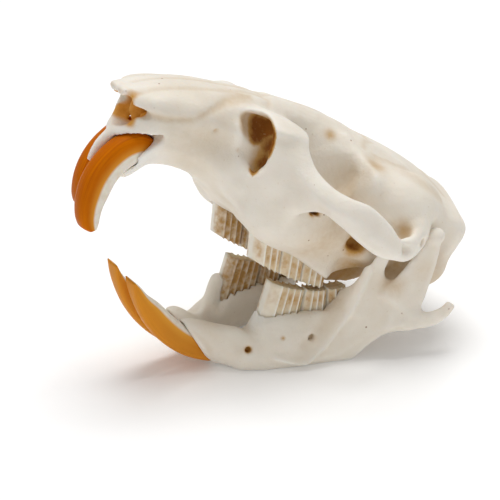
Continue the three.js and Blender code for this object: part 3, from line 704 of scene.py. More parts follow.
def cranium_body():
    """Rings of the cranium's outer form."""
    count, around = CRANIUM_LOFT
    rows = np.array(CRANIUM_SECTIONS)
    at = np.linspace(rows[0, 0], rows[-1, 0], count)
    rings = []
    for x, setback, roof, crown, side, side_z, low, low_z, base, floor in curve(rows, rows[:, 0], at):
        half = [(crown, roof - CROWN_DROP * crown), (side, side_z), (low, low_z), (base, floor)]
        outline = [(0, roof), *half, (0, floor), *[(-y, z) for y, z in reversed(half)]]
        ring = smooth_ring(outline, around)
        down = (roof - ring[:, 1]) / (roof - floor)
        back = NOSE_SLOPE * down + NOSE_HOLLOW * np.sin(np.pi * np.clip(down, 0, 1))
        rings.append(np.column_stack([x + max(setback, 0) * back, ring]))
    return rings


def arch_rings():
    """Rings along the arch, square to its course seen from above."""
    count, around = ARCH_LOFT
    rows = np.array(ARCH_STATIONS)
    rows = curve(rows, np.arange(len(rows)), np.linspace(0, len(rows) - 1, count))
    heading = np.gradient(rows[:, [0, 3]], axis=0)
    heading /= np.linalg.norm(heading, axis=1)[:, None]
    half = ARCH_THICKNESS / 2
    rings = []
    for row, (along, across) in zip(rows, heading):
        corners = []
        for level, out, lift in ARCH_CORNERS:
            y, z = row[1 + 2 * level], row[2 + 2 * level]
            corners.append((row[0] - across * out * half, y + along * out * half, z + lift))
        rings.append(smooth_ring(corners, around))
    return rings


def bar_rings(bar):
    """Oval rings along a bar of bone."""
    count, around = BAR_LOFT
    path = smooth_path(bar.path, count)
    share = np.linspace(0, 1, count)
    stations = np.linspace(0, 1, len(bar.deep))
    deep = np.interp(share, stations, bar.deep)
    thin = np.interp(share, stations, bar.thin)
    along = np.gradient(path, axis=0)
    across = np.array([0.0, 1.0, 0.0])
    up = np.cross(along, across)
    up /= np.linalg.norm(up, axis=1)[:, None]
    angles = np.linspace(0, 2 * np.pi, around, endpoint=False)
    swing = np.cos(angles)[None, :, None] * (deep / 2)[:, None, None] * up[:, None, :]
    spread = np.sin(angles)[None, :, None] * (thin / 2)[:, None, None] * across
    return path[:, None, :] + swing + spread


def keyhole_rings():
    """Rings of the way through the keyhole opening."""
    count, around = KEYHOLE_LOFT
    outline = smooth_ring(KEYHOLE_OUTLINE, around)
    last = len(KEYHOLE_RINGS) - 1
    rows = curve(np.array(KEYHOLE_RINGS), np.arange(last + 1), np.linspace(0, last, count))
    return [
        np.column_stack([x + outline[:, 0] * wide * ux, y + outline[:, 0] * wide * uy, outline[:, 1]])
        for x, y, ux, uy, wide in rows
    ]


def row_point(row, level, along, across, lift=0.0):
    """A point of a tooth row: so far along it and so far out, at one of its levels."""
    back = along * level.reach
    z = level.z + level.slope * back + level.bend * back * back + lift
    return np.stack(np.broadcast_arrays(level.x + back, row.y + row.spread * back + across, z), axis=-1)


def row_length(row):
    """Length of a tooth row with the gaps between its teeth."""
    return sum(length + TOOTH_GAP for length, *_ in row.teeth) - TOOTH_GAP


def row_ridge_rings():
    """The rounded ridge of bone that holds the upper row, from deep inside to its rim."""
    count, around = ROW_LOFT
    row = ROWS["upper"]
    half = row.width / 2 + RIDGE_MARGIN
    length = row_length(row)
    corners = [
        (-RIDGE_MARGIN, 0), (0, half), (length / 2, half), (length, half),
        (length + RIDGE_MARGIN, 0), (length, -half), (length / 2, -half), (0, -half),
    ]
    along, across = smooth_ring(corners, around).T
    top = row_point(row, row.root, along, RIDGE_ROOT_WIDTH * across, RIDGE_BURIED)
    rim = row_point(row, row.rim, along, across)
    return [top + (rim - top) * share for share in np.linspace(0, 1, count)]


def carve_sockets(volume, jaw, name, side=1):
    """Cuts the sockets of one side's teeth, each a thin gap wider than its tooth."""
    row = tooth_row(jaw, name)
    for index in range(len(row.teeth)):
        rings, _ = cheek_tooth_rings(row, index, smooth=True)
        volume.carve(volume.loft(rings * (1, side, 1)) - SOCKET_GAP, CHEEK_SOCKET_EDGE)
    rings, _ = incisor_rings(incisor(jaw, name), incisor_stations(jaw, name), smooth=True)
    volume.carve(volume.loft(rings * (1, side, 1)) - SOCKET_GAP, INCISOR_SOCKET_EDGE)


def tooth_row(jaw, name):
    """One row of cheek teeth; the rows of the two sides don't stand quite opposite each other."""
    row = ROWS[jaw]
    back = ROW_BACK.get((jaw, name), 0.0)
    levels = {level: getattr(row, level) for level in ("root", "rim", "crown")}
    return row._replace(**{level: place._replace(x=place.x + back) for level, place in levels.items()})


def add_scrolls(volume):
    """Thin scrolls of bone inside the nose, and the wall between its two halves."""
    for height, out in NOSE_SCROLLS:
        turns = np.linspace(0, 1.5 * np.pi, 8)
        x = SCROLL_X + 0.5 * np.cos(turns)
        y = out + 0.75 * np.sin(turns)
        z = height + 0.6 * np.cos(turns)
        volume.join(strand(np.column_stack([x, y, z]), SCROLL_RADIUS), 0.2)
        volume.join(strand([(5.4, out, height), (9.0, out + 0.4, height - 0.2)], SCROLL_ROOT_RADIUS), 0.3)
    volume.join(NASAL_WALL, 0.2)


PALATE_RIDGE = [(38.8, 5.6, -17.2), (41.0, 6.4, -15.8), (43.6, 7.2, -14.4), (46.0, 8.4, -13.6)]

# How the cranium is shaped, in turn: joined or carved, the form, and how softly it blends
BRAIN_CASE_STEPS = [
    (JOIN, cranium_body, 0.0),
    # bulla of the ear
    (JOIN, ball((51.4, 6.4, -12.6), (6.2, 4.3, 4.6), 0.42), 0.9),
    (JOIN, PAROCCIPITAL, 0.8),
    # condyle beside the hollow for the spinal cord
    (JOIN, ball((58.2, 3.3, -9.8), (1.7, 1.6, 2.2)), 0.7),
    (CARVE, ball((58.0, 0, -8.1), (6.5, 2.9, 2.3)), 0.5),
    # opening of the ear
    (CARVE, ball((51.5, 11.4, -10.2), (1.3, 1.6, 1.3)), 0.5),
    # root of the arch on the brain case, and the hollow behind the eye
    (JOIN, ball((44.5, 9.4, -3.6), (6.5, 3.0, 3.4)), 2.0),
    (CARVE, ball((33.6, 7.4, -3.6), (3.4, 2.0, 3.4)), 1.6),
    # groove over the ear
    (CARVE, ball((49.6, 13.4, -9.4), (3.4, 1.0, 0.9)), 0.8),
]
ARCH_STEPS = [
    (JOIN, arch_rings, 1.5),
    # front root of the arch, the keyhole through it, and the bridge over the keyhole
    (JOIN, ROOT_BRIDGE, 1.2),
    (JOIN, ball((23.0, 7.0, 0.9), (3.9, 4.4, 1.2)), 1.2),
    (CARVE, keyhole_rings, 0.3),
    (JOIN, KEYHOLE_TOP, 0.6),
    # fold inside the keyhole
    (JOIN, strand([(20.2, 5.2, -0.7), (20.9, 4.8, -1.7), (21.5, 4.9, -2.8)], 0.34), 0.3),
    # rear root of the arch
    (JOIN, ball((44.6, 11.2, -4.6), (4.6, 3.2, 3.2)), 2.0),
    (JOIN, ball((45.5, 13.3, -7.5), (2.3, 2.5, 2.7)), 1.0),
    # notch and pits in the arch's rear end
    (CARVE, ball((43.1, 15.2, -7.4), (0.8, 1.1, 1.2)), 0.3),
    (CARVE, ball((42.4, 17.8, -9.1), (1.5, 0.6, 0.7)), 0.4),
    (CARVE, ball((44.4, 16.0, -9.3), (0.9, 0.5, 0.5)), 0.3),
    (CARVE, ball((45.8, 15.6, -8.0), (0.7, 0.6, 0.6)), 0.3),
]
PALATE_STEPS = [
    (JOIN, row_ridge_rings, 1.5),
    # side of the upper jaw over the row, and its rear end
    (JOIN, ball((28.2, 7.8, -10.8), (5.6, 2.4, 3.2)), 2.6),
    (JOIN, ball((39.0, 6.0, -12.0), (5.0, 2.4, 3.6)), 2.0),
    # hollow of the palate
    (CARVE, ball((31, 0, -15.9), (10, 2.3, 2.0)), 0.8),
    (JOIN, PTERYGOID, 0.9),
    # pit behind the last tooth, with a shelf and a ridge over it
    (CARVE, ball((43.0, 5.4, -14.2), (3.2, 1.3, 1.8)), 0.7),
    (JOIN, ball((43.8, 7.4, -13.2), (4.2, 2.8, 1.6)), 1.0),
    (JOIN, strand(PALATE_RIDGE, 1.0), 1.4),
    # opening behind the row
    (CARVE, ball((40.5, 8.8, -12.2), (1.4, 1.6, 0.85)), 0.5),
    # flat cheek below the arch, and the slit in it
    (JOIN, ball((30.6, 7.2, -10.6), (6.6, 2.5, 3.8)), 3.0),
    (CARVE, ball((31.0, 10.4, -8.9), (1.3, 3.2, 0.26)), 0.1),
]
SNOUT_STEPS = [
    (JOIN, NASAL_TIP_PLATE, 0.5),
    (JOIN, INCISOR_SPINE, 0.9),
    # inside of the nose, and the notches in its side
    (CARVE, ball((2.8, 0, -2.6), (11.0, 2.8, 2.2)), 0.5),
    (CARVE, ball((1.6, 0, -4.0), (3.4, 2.3, 1.7)), 0.5),
    (CARVE, ball((3.4, 4.2, -2.6), (1.3, 2.6, 0.7)), 0.4),
    (CARVE, ball((0.6, 2.6, -1.6), (1.5, 2.2, 1.0)), 0.4),
    (JOIN, NASAL_TIP_PLATE, 0.3),
    # swelling along the side of the snout, and the hollow below it
    (JOIN, ball((9.0, 4.8, -0.7), (5.0, 1.4, 1.7)), 1.6),
    (CARVE, ball((15.0, 8.6, -3.8), (6.4, 2.6, 2.6)), 1.4),
    # slit in front of the palate
    (CARVE, ball((14.5, 0.95, -9.1), (5.4, 0.45, 1.3)), 0.3),
]

# Scrolls in the nose: height and distance from the midline of each
NOSE_SCROLLS = [(-1.4, 1.3), (-3.1, 1.5)]
SCROLL_X = 5.6
SCROLL_RADIUS = 0.28
SCROLL_ROOT_RADIUS = 0.45
NASAL_WALL = ball((8.0, 0, -2.4), (4.4, 0.45, 3.0))


def cranium_half(step):
    """One half of the cranium, before its sockets are cut."""
    half = Volume(CRANIUM_SPACE, step)
    half.shape(BRAIN_CASE_STEPS + ARCH_STEPS + PALATE_STEPS + SNOUT_STEPS)
    add_scrolls(half)
    half.shape((CARVE, ball(pore, PORE_SIZE), 0.15) for pore in PORES)
    for line in CRANIUM_LINES:
        half.press(line)
    soften(half.value, 1)
    return half


def cranium_volume(step):
    """The whole cranium, with its sockets."""
    whole = cranium_half(step).mirrored()
    whole.roughen(size=3.2, height=0.035, seed=4)
    for name, side in SIDES.items():
        carve_sockets(whole, "upper", name, side)
        whole.carve(whole.loft(socket_mouth(name) * (1, side, 1)), MOUTH_EDGE)
    return whole


# Lower jaw

def dentary_rings():
    """Rings along the body of the lower jaw."""
    count, around = DENTARY_LOFT
    rows = np.array(DENTARY_SECTIONS)
    rings = []
    for row in curve(rows, rows[:, 0], np.linspace(rows[0, 0], rows[-1, 0], count)):
        ring = smooth_ring(row[2:].reshape(-1, 2), around)
        lean = max(row[1], 0) * (row[3] - ring[:, 1])
        rings.append(np.column_stack([row[0] + lean, ring]))
    return rings


# How each half of the lower jaw is shaped, in turn, and then the bone in front of its row
DENTARY_STEPS = [
    (JOIN, dentary_rings, 0.0),
    (JOIN, CORONOID, 1.4),
    (JOIN, CONDYLE_NECK, 1.4),
    (JOIN, ANGULAR_PROCESS, 1.4),
    # condyle
    (JOIN, ball((22.1, 13.8, 18.1), (1.35, 1.1, 1.1)), 0.5),
]
ROW_FRONT_STEPS = {
    "left": [
        (JOIN, strand([(-1.35, 5.2, 4.6), (-1.25, 5.2, 6.4), (-0.8, 5.3, 7.8)], 1.1), 0.9),
    ],
    "right": [
        (CARVE, ball((-7.5, 4.8, 9.0), (3.5, 4.0, 3.8)), 0.6),
        (JOIN, strand([(-4.3, 5.0, 4.0), (-3.1, 5.2, 7.4), (-2.5, 5.2, 8.8)], 1.1), 0.9),
    ],
}
# opening for the nerve of the chin
CHIN_OPENING = (CARVE, ball((-4.2, 8.0, 3.55), (0.52, 1.8, 0.48)), 0.25)


def dentary_volume(step, name):
    """One half of the lower jaw, cut flat at the midline and on the ground."""
    volume = Volume(DENTARY_SPACE, step)
    volume.shape(DENTARY_STEPS + ROW_FRONT_STEPS[name] + [CHIN_OPENING])
    volume.shape((CARVE, ball(pore, JAW_PORE_SIZE), 0.1) for pore in JAW_PORES)
    for line in DENTARY_LINES:
        volume.press(line)
    soften(volume.value, 1)
    volume.roughen(size=2.8, height=0.03, seed=7 + SIDES[name])
    carve_sockets(volume, "lower", name)
    _, (_, y, z) = volume.window(volume.low, np.array(DENTARY_SPACE[1]) + 1)
    volume.value = np.maximum(volume.value, np.maximum(MIDLINE_GAP / 2 - y, -z).astype(np.float32))
    return volume


# Incisors

def incisor(jaw, name):
    """Curve and section of one incisor; the right ones stand a little out of place."""
    shape = INCISORS[jaw]
    if name == "left":
        return shape
    return shape._replace(centre=tuple(np.add(shape.centre, RIGHT_SHIFT[jaw])))


def incisor_stations(jaw, name):
    """Stations along one incisor, with its worn end in place."""
    tip = TIP_ANGLES[jaw, name]
    worn = [(tip + turn, front, back) for turn, front, back in TIP_STATIONS[jaw]]
    return sorted(INCISOR_STATIONS[jaw] + worn)


def incisor_rings(shape, stations, smooth=False):
    """Rings of an incisor, and for each point how far back and across it is and how far along."""
    stations = np.array(stations)
    count, around = INCISOR_SOCKET_LOFT if smooth else INCISOR_LOFT
    rows = curve(stations, stations[:, 0], np.linspace(stations[0, 0], stations[-1, 0], count))
    section = smooth_ring(INCISOR_SECTION, around)
    rings, facts = [], []
    for angle, front, back in rows:
        turn = math.radians(angle)
        outer = shape.front - front * shape.depth
        inner = shape.front - back * shape.depth
        radius = outer + (inner - outer) * section[:, 0]
        x = shape.centre[0] + radius * math.cos(turn)
        y = shape.midline + section[:, 1] * shape.width
        z = shape.centre[1] + radius * math.sin(turn)
        rings.append(np.column_stack([x, y, z]))
        facts.append(np.column_stack([section, np.full(around, turn * shape.front)]))
    return np.array(rings), np.array(facts)


def socket_mouth(name):
    """The bone stops short on the outer side of each upper incisor."""
    shape = incisor("upper", name)._replace(width=MOUTH_WIDTH, midline=MOUTH_MIDLINE)
    rings, _ = incisor_rings(shape, MOUTH_STATIONS, smooth=True)
    return rings


# Cheek teeth

def tooth_outline(length, lead, columns, width, per_column):
    """Plan of a tooth: narrow ridges with wide grooves, the inner ones half a column behind.

    Gives each point's place along and across, and how deep it lies in a groove."""
    column = (length - lead) / columns
    even = np.linspace(0, 1, per_column * (columns + round(lead)))
    along = length * (BUNCHED * (1 - np.cos(np.pi * even)) / 2 + (1 - BUNCHED) * even)
    end = np.maximum(1 - np.abs(2 * along / length - 1) ** 5, 0) ** 0.4
    outline = []
    for sign, step_back in ((1, 0.0), (-1, 0.5)):
        ridges = np.append(0, lead + column * (np.arange(columns + 1) - step_back))
        away = np.min(np.abs(along[:, None] - ridges), axis=1)
        broad = np.where(along < lead - step_back * column, BROAD_DEPTH, 1.0)
        depth = broad * (1 - bell(away, RIDGE_WIDTH))
        across = sign * (width / 2 * end - RIDGE_DEPTH * depth)
        outline.append(np.column_stack([along, across, depth])[::sign])
    return np.concatenate([outline[0][:-1], outline[1][:-1]])


def cheek_tooth_rings(row, index, smooth=False):
    """Rings of one cheek tooth from its root to its worn top, and the facts of each point."""
    count, per_column = TOOTH_SOCKET_LOFT if smooth else TOOTH_LOFT
    start = sum(length + TOOTH_GAP for length, *_ in row.teeth[:index])
    length, lead, columns = row.teeth[index]
    inside, across, groove = tooth_outline(length, lead, columns, row.width, per_column).T
    along = start + inside
    broad = 0 * groove
    if lead:
        broad = np.clip(BROAD_FILL * (1 - np.abs(inside / (BROAD_MIDDLE * lead) - 1)), 0, 1)
    down = np.sign(row.root.z - row.crown.z)
    root = row_point(row, row.root, along, across)
    top = row_point(row, row.crown, along, across)
    top[:, 2] -= down * CROWN_WEAR * (0.5 - groove)

    def facts_at(height):
        return np.column_stack([groove, np.full(len(groove), height), across, broad])

    levels = np.linspace(0, 1, count)
    rings = [root + (top - root) * level for level in levels]
    facts = [facts_at(level) for level in levels]
    if not smooth:
        centre = start + length / 2
        middle = row_point(row, row.crown, centre + WORN_REACH * (along - centre), 0.0)
        for share, depth in WORN_TOP:
            rings.append(top + (middle - top) * share + (0, 0, down * depth))
            facts.append(facts_at(1.0 + share))
    return np.array(rings), np.array(facts)


# Colours of the bone

def mark(points, lines, spots):
    """How tan and how brown each point is, from the marked lines and places."""
    place = (points[:, 0], np.abs(points[:, 1]), points[:, 2])
    tan = np.zeros(len(points))
    brown = np.zeros(len(points))
    for line in (line for line in lines if line.stain):
        away = line_distance(smooth_path(line.path, 4 * len(line.path)), place, line.axes)
        amount = line.stain * bell(away, LINE_STAIN_WIDTH * line.width)
        if line.between:
            missing = place["xyz".index(next(axis for axis in "xyz" if axis not in line.axes))]
            amount = amount * ((missing > line.between[0]) & (missing < line.between[1]))
        tan = np.maximum(tan, amount)
    for spot in spots:
        amount = bell(np.linalg.norm(np.column_stack(place) - spot.at, axis=1), spot.radius)
        tan = np.maximum(tan, spot.tan * amount)
        brown = np.maximum(brown, spot.brown * amount)
    return tan, brown


def hollows(volume, points):
    """How hollow the surface is round each point, from 0 to 1, and how much it stands out: the first gets
    painted shade, the second a painted highlight.
    """
    smooth = soften(volume.value.copy(), HOLLOW_BLUR)
    rise = volume.sample(smooth, points) / (volume.step * math.sqrt(HOLLOW_BLUR))
    return np.clip(-rise, 0, 1), np.clip(EDGE_HIGHLIGHT_GAIN * rise, 0, 1)


def bone_marks(volume, points, lines, spots, pores):
    """The facts that the bone's material reads, but for what only the cranium has."""
    tan, brown = mark(points, lines, spots + [Spot(pore, *PORE_MARK) for pore in pores])
    hollow, edge = hollows(volume, points)
    return {"tan": tan, "brown": brown, "hollow": hollow, "edge": edge}


def keyhole_painted_shade(volume, points):
    """Painted shade in the keyhole opening: tan at its rim and top, dark brown further in."""
    one_side = points * (1, 0, 1) + np.abs(points) * (0, 1, 0)
    away = volume.sample(volume.loft(keyhole_rings()), one_side)
    inside = ramp(away, *KEYHOLE_EDGE) * np.interp(away, *KEYHOLE_INSIDE)
    brown = inside * np.interp(points[:, 0], *KEYHOLE_FRONT) * np.interp(-points[:, 2], *KEYHOLE_DOWN)
    return KEYHOLE_SHADE_TAN * inside, brown


def nose_stain_and_glow(points):
    """How much each point belongs to the stained inside of the nose, which also gets a painted glow."""
    x, y, z = points.T
    measures = {"out": np.abs(y), "back": x, "top": z, "floor": z, "front": x + NOSE_LEAN * z}
    return np.prod([ramp(measures[name], *limits) for name, limits in NOSE_LIMITS.items()], axis=0)


# Materials

# Colour sockets of the node that mixes two colours
MIX_UNDER, MIX_OVER, MIX_RESULT = 6, 7, 2


class Nodes:
    """Makes and links the shader nodes of one material."""

    def __init__(self, name):
        self.material = bpy.data.materials.new(name)
        self.material.use_nodes = True
        self.tree = self.material.node_tree
        self.shader = self.tree.nodes["Principled BSDF"]

    def new(self, kind, inputs=None, **settings):
        """Adds a node with some settings, and links or fills its inputs."""
        node = self.tree.nodes.new(kind)
        for name, value in settings.items():
            setattr(node, name, value)
        for name, value in (inputs or {}).items():
            self.fill(node.inputs[name], value)
        return node

    def fill(self, socket, value):
        """Links a socket to another one, or gives it a constant value."""
        if isinstance(value, bpy.types.NodeSocket):
            self.tree.links.new(value, socket)
        else:
            socket.default_value = (*value, 1) if isinstance(value, Color) else value

    def marks(self, name):
        """A value stored on the mesh."""
        return self.new("ShaderNodeAttribute", attribute_name=name).outputs["Fac"]

    def place(self):
        """Places in the object's own space, in metres."""
        return self.new("ShaderNodeTexCoord").outputs["Object"]

    def noise_at(self, place, scale, detail):
        inputs = {"Vector": place, "Scale": scale, "Detail": detail}
        return self.new("ShaderNodeTexNoise", inputs).outputs["Fac"]

    def noise(self, scale, detail, stretch=(1.0, 1.0, 1.0)):
        """Noise over places in millimetres."""
        inputs = {"Vector": self.place(), "Scale": [part / METRE for part in stretch]}
        return self.noise_at(self.new("ShaderNodeMapping", inputs).outputs["Vector"], scale, detail)

    def dots(self, scale, size, share, strength):
        """Small round dots at random places; size is in cells, and share of the cells have one."""
        cells = self.new("ShaderNodeTexVoronoi", {"Vector": self.place(), "Scale": scale / METRE})
        near = self.remap(cells.outputs["Distance"], 0.5 * size, size, strength, 0.0)
        chosen = self.remap(cells.outputs["Color"], 1 - share, 1.02 - share)
        return self.times(near, chosen)

    def calculate(self, operation, first, second):
        return self.new("ShaderNodeMath", {0: first, 1: second}, operation=operation).outputs["Value"]

    def times(self, first, second):
        return self.calculate("MULTIPLY", first, second)

    def remap(self, value, low, high, to_low=0.0, to_high=1.0):
        inputs = {"Value": value, "From Min": low, "From Max": high, "To Min": to_low, "To Max": to_high}
        return self.new("ShaderNodeMapRange", inputs).outputs["Result"]

    def coats(self, colour, coats):
        """A colour with coats of other colours over it, each as strong as its amount."""
        for amount, coat in coats:
            inputs = {"Factor": amount, MIX_UNDER: colour, MIX_OVER: coat}
            colour = self.new("ShaderNodeMix", inputs, data_type="RGBA").outputs[MIX_RESULT]
        return colour

    def bump(self, height, distance, normal=None):
        inputs = {"Height": height, "Distance": distance * METRE}
        if normal:
            inputs["Normal"] = normal
        return self.new("ShaderNodeBump", inputs).outputs["Normal"]

    def set(self, **values):
        for name, value in values.items():
            self.fill(self.shader.inputs[name.replace("_", " ")], value)

    def translucent(self, weight, depth, spread):
        """Lets light into the surface, so deep in millimetres and so far for red, green and blue."""
        self.set(Subsurface_Weight=weight, Subsurface_Scale=depth * METRE, Subsurface_Radius=spread)


def bone_material(name, finish):
    """Dry, chalky bone: ivory with painted shade in tan in its hollows, a painted highlight on its edges,
    brown stains and fine pores.
    """
    nodes = Nodes(name)
    brown = nodes.marks("brown")
    cloud = nodes.noise(0.16, 5.0)
    fleck = nodes.noise(1.3, 6.0)
    # painted shade: hollows of the surface are coated tan, more where they are deeper
    hollow = nodes.times(nodes.marks("hollow"), nodes.remap(cloud, 0.2, 0.8, 0.45, 0.975))
    patches = nodes.times(nodes.marks("tan"), nodes.remap(fleck, 0.25, 0.75, 0.75, 1.2))
    stain = nodes.times(brown, nodes.remap(fleck, 0.3, 0.7, 0.8, 1.15))
    colour = nodes.coats(finish.bone, [
        (nodes.remap(cloud, 0.35, 0.7), finish.bone_shade),
        (hollow, finish.bone_tan),
        (patches, finish.bone_tan),
        # amber and brown carry real stains, and also painted shade in the keyhole and in the chin's opening
        (nodes.remap(stain, 0.0, 0.4), finish.bone_amber),
        (nodes.remap(stain, 0.4, 0.85), finish.bone_brown),
        (nodes.remap(nodes.noise(2.2, 3.0), 0.66, 0.76, 0.0, 0.3), finish.bone_tan),
        (nodes.dots(0.6, 0.11, 0.3, 0.75), finish.bone_brown),
        # painted highlight: edges that stand out are lightened towards white, less where the bone is brown
        (nodes.times(nodes.marks("edge"), nodes.remap(brown, 0.0, 0.2, 0.9, 0.0)), finish.bone_painted_highlight),
    ])
    normal = nodes.bump(nodes.noise(0.45, 5.0), 0.26)
    normal = nodes.bump(nodes.noise(3.0, 5.0), 0.05, normal)
    nodes.set(Base_Color=colour, Normal=normal, Roughness=nodes.remap(fleck, 0.3, 0.7, 0.46, 0.62))
    nodes.set(Specular_IOR_Level=nodes.remap(brown, 0.0, 0.6, 0.35, 0.08))
    # painted glow: the inside of the nose gives off light of its own, standing in for light through its thin
    # walls
    nodes.set(Emission_Color=finish.bone_painted_glow, Emission_Strength=nodes.marks("glow"))
    nodes.translucent(0.18, 1.2, (1.0, 0.7, 0.45))
    return nodes.material


def incisor_material(name, finish):
    """Orange enamel on the front, pale dentine behind, with faint streaks along the tooth."""
    nodes = Nodes(name)
    across = nodes.times(nodes.calculate("ADD", nodes.marks("across"), 0.5), 16.0)
    along = nodes.times(nodes.marks("along"), 0.12)
    place = nodes.new("ShaderNodeCombineXYZ", {"X": across, "Y": along})
    streak = nodes.noise_at(place.outputs["Vector"], 0.9, 4.0)
    enamel = nodes.coats(finish.enamel, [
        (nodes.remap(streak, 0.35, 0.7), finish.enamel_dark),
        (nodes.marks("core"), finish.enamel_dark),
        (nodes.marks("pale"), finish.enamel_light),
        (nodes.marks("rim"), finish.enamel_light),
    ])
    cloud = nodes.remap(nodes.noise(0.8, 4.0), 0.45, 0.8, 0.0, 0.4)
    colour = nodes.coats(finish.dentine, [(cloud, finish.bone_tan), (nodes.marks("enamel"), enamel)])
    nodes.set(Base_Color=colour, Normal=nodes.bump(streak, 0.05), Roughness=0.36, Specular_IOR_Level=0.03)
    nodes.translucent(0.1, 0.6, (1.0, 0.4, 0.1))
    return nodes.material


def cheek_tooth_material(name, finish):
    """Cream columns, tan between them, with worn tops."""
    nodes = Nodes(name)
    cloud = nodes.noise(0.45, 4.0)
    groove = nodes.remap(nodes.marks("groove"), 0.1, 0.75)
    patches = nodes.remap(nodes.noise(1.1, 3.0), 0.35, 0.65, 0.3, 1.2)
    colour = nodes.coats(finish.column, [
        (nodes.remap(cloud, 0.3, 0.7), finish.column_grey),
        (nodes.times(groove, nodes.remap(cloud, 0.25, 0.75, 0.55, 1.1)), finish.column_tan),
        (nodes.times(nodes.marks("stain"), patches), finish.column_brown),
        (nodes.remap(nodes.marks("height"), 1.1, 1.3, 0.0, 0.7), finish.column_tan),
    ])
    normal = nodes.bump(nodes.noise(1.6, 4.0, (1.0, 1.0, 0.35)), 0.05)
    nodes.set(Base_Color=colour, Normal=normal, Roughness=0.36)
    nodes.translucent(0.3, 1.0, (1.0, 0.75, 0.5))
    return nodes.material


def floor_material(name, finish):
    """A pale, matt floor with a faint light of its own, so that it runs into the background."""
    nodes = Nodes(name)
    nodes.set(Base_Color=finish.floor, Roughness=0.9, Specular_IOR_Level=0.1)
    nodes.set(Emission_Color=(1.0, 1.0, 1.0, 1.0), Emission_Strength=0.08)
    return nodes.material


# Each slot's material: its name and the function that makes it
MATERIALS = {
    "bone": ("dry_bone", bone_material),
    "incisor_enamel": ("orange_enamel", incisor_material),
    "cheek_tooth": ("grooved_tooth", cheek_tooth_material),
    "floor": ("pale_floor", floor_material),
}


def slot_material(context, slot):
    """The material of a slot, made when it is first needed."""
    name, make = MATERIALS[slot]
    return bpy.data.materials.get(name) or make(name, context.scene.skull_finish)


# Pieces

def skull_place(points):
    """From the skull frame in millimetres to the object's frame in metres."""
    x, y, z = np.asarray(points).T
    cosine, sine = math.cos(PITCH), math.sin(PITCH)
    world = [NASAL_TIP[0] + x * cosine + z * sine, y, NASAL_TIP[1] - x * sine + z * cosine]
    return METRE * np.stack(world, axis=1)


def jaw_place(points):
    """From the jaw frame in millimetres to the object's frame in metres."""
    return METRE * (np.asarray(points) + (JAW_X, 0, 0))


PLACES = {"upper": skull_place, "lower": jaw_place}


def signed_volume(points, faces):
    """Volume inside some faces, negative where they face inward."""
    corners = points[faces]
    first, second, third = corners[:, 0], corners[:, 1], corners[:, 2]
    total = np.sum(first * np.cross(second, third))
    if faces.shape[1] == 4:
        total += np.sum(first * np.cross(third, corners[:, 3]))
    return total / 6


def smooth_mesh(name, points, face_groups, marks):
    """A smooth mesh from groups of faces, with its marks stored on its points."""
    if sum(signed_volume(points, faces) for faces in face_groups) < 0:
        face_groups = [faces[:, ::-1] for faces in face_groups]
    mesh = bpy.data.meshes.new(name)
    sizes = np.concatenate([np.full(len(faces), faces.shape[1]) for faces in face_groups])
    corners = np.concatenate([faces.ravel() for faces in face_groups]).astype(np.int32)
    mesh.vertices.add(len(points))
    mesh.vertices.foreach_set("co", points.astype(np.float32).ravel())
    mesh.loops.add(len(corners))
    mesh.loops.foreach_set("vertex_index", corners)
    mesh.polygons.add(len(sizes))
    mesh.polygons.foreach_set("loop_start", (np.cumsum(sizes) - sizes).astype(np.int32))
    mesh.update(calc_edges=True)
    mesh.validate()
    mesh.shade_smooth()
    for key, values in marks.items():
        attribute = mesh.attributes.new(key, "FLOAT", "POINT")
        attribute.data.foreach_set("value", np.asarray(values, dtype=np.float32))
    return mesh


def add_piece(context, name, node, mesh, slot):
    """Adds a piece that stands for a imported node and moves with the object."""
    mesh.materials.append(slot_material(context, slot))
    piece = bpy.data.objects.new(name, mesh)
    context.scene.collection.objects.link(piece)
    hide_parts(node)
    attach(piece, BODY)


def end_facts(facts):
    """Facts of a loft's points, with its two end points after the rings."""
    ends = np.stack([facts[0].mean(axis=0), facts[-1].mean(axis=0)])
    return np.concatenate([facts.reshape(-1, facts.shape[-1]), ends])


def build_cranium(context):
    volume = cranium_volume(grid_step(context))
    points, quads = volume.surface()
    marks = bone_marks(volume, points, CRANIUM_LINES, CRANIUM_SPOTS, PORES)
    nose = nose_stain_and_glow(points)
    # painted shade of the keyhole opening, put into the tan and brown marks
    tan, brown = keyhole_painted_shade(volume, points)
    marks["tan"] = np.maximum(marks["tan"], tan)
    marks["brown"] = np.maximum.reduce([marks["brown"], NOSE_BROWN * nose, brown])
    # painted glow inside the nose, stronger further back
    marks["glow"] = nose * ramp(points[:, 0], *PAINTED_GLOW_LIMITS)
    mesh = smooth_mesh("cranium_bone", skull_place(points), [quads], marks)
    add_piece(context, "cranium_bone", "cranium", mesh, "bone")


def build_dentary(context, name):
    volume = dentary_volume(JAW_FINENESS * grid_step(context), name)
    points, quads = volume.surface()
    marks = bone_marks(volume, points, DENTARY_LINES, DENTARY_SPOTS, JAW_PORES)
    points[:, 1] *= SIDES[name]
    piece = f"mandible_bone_{name}"
    mesh = smooth_mesh(piece, jaw_place(points), [quads], marks)
    add_piece(context, piece, f"mandible_{name}", mesh, "bone")


def tooth_mesh(piece, jaw, name, rings, marks):
    """Mesh of one tooth from its rings, on its own side."""
    points, quads, ends = skin(rings)
    points[:, 1] *= SIDES[name]
    return smooth_mesh(piece, PLACES[jaw](points), [quads, ends], marks)


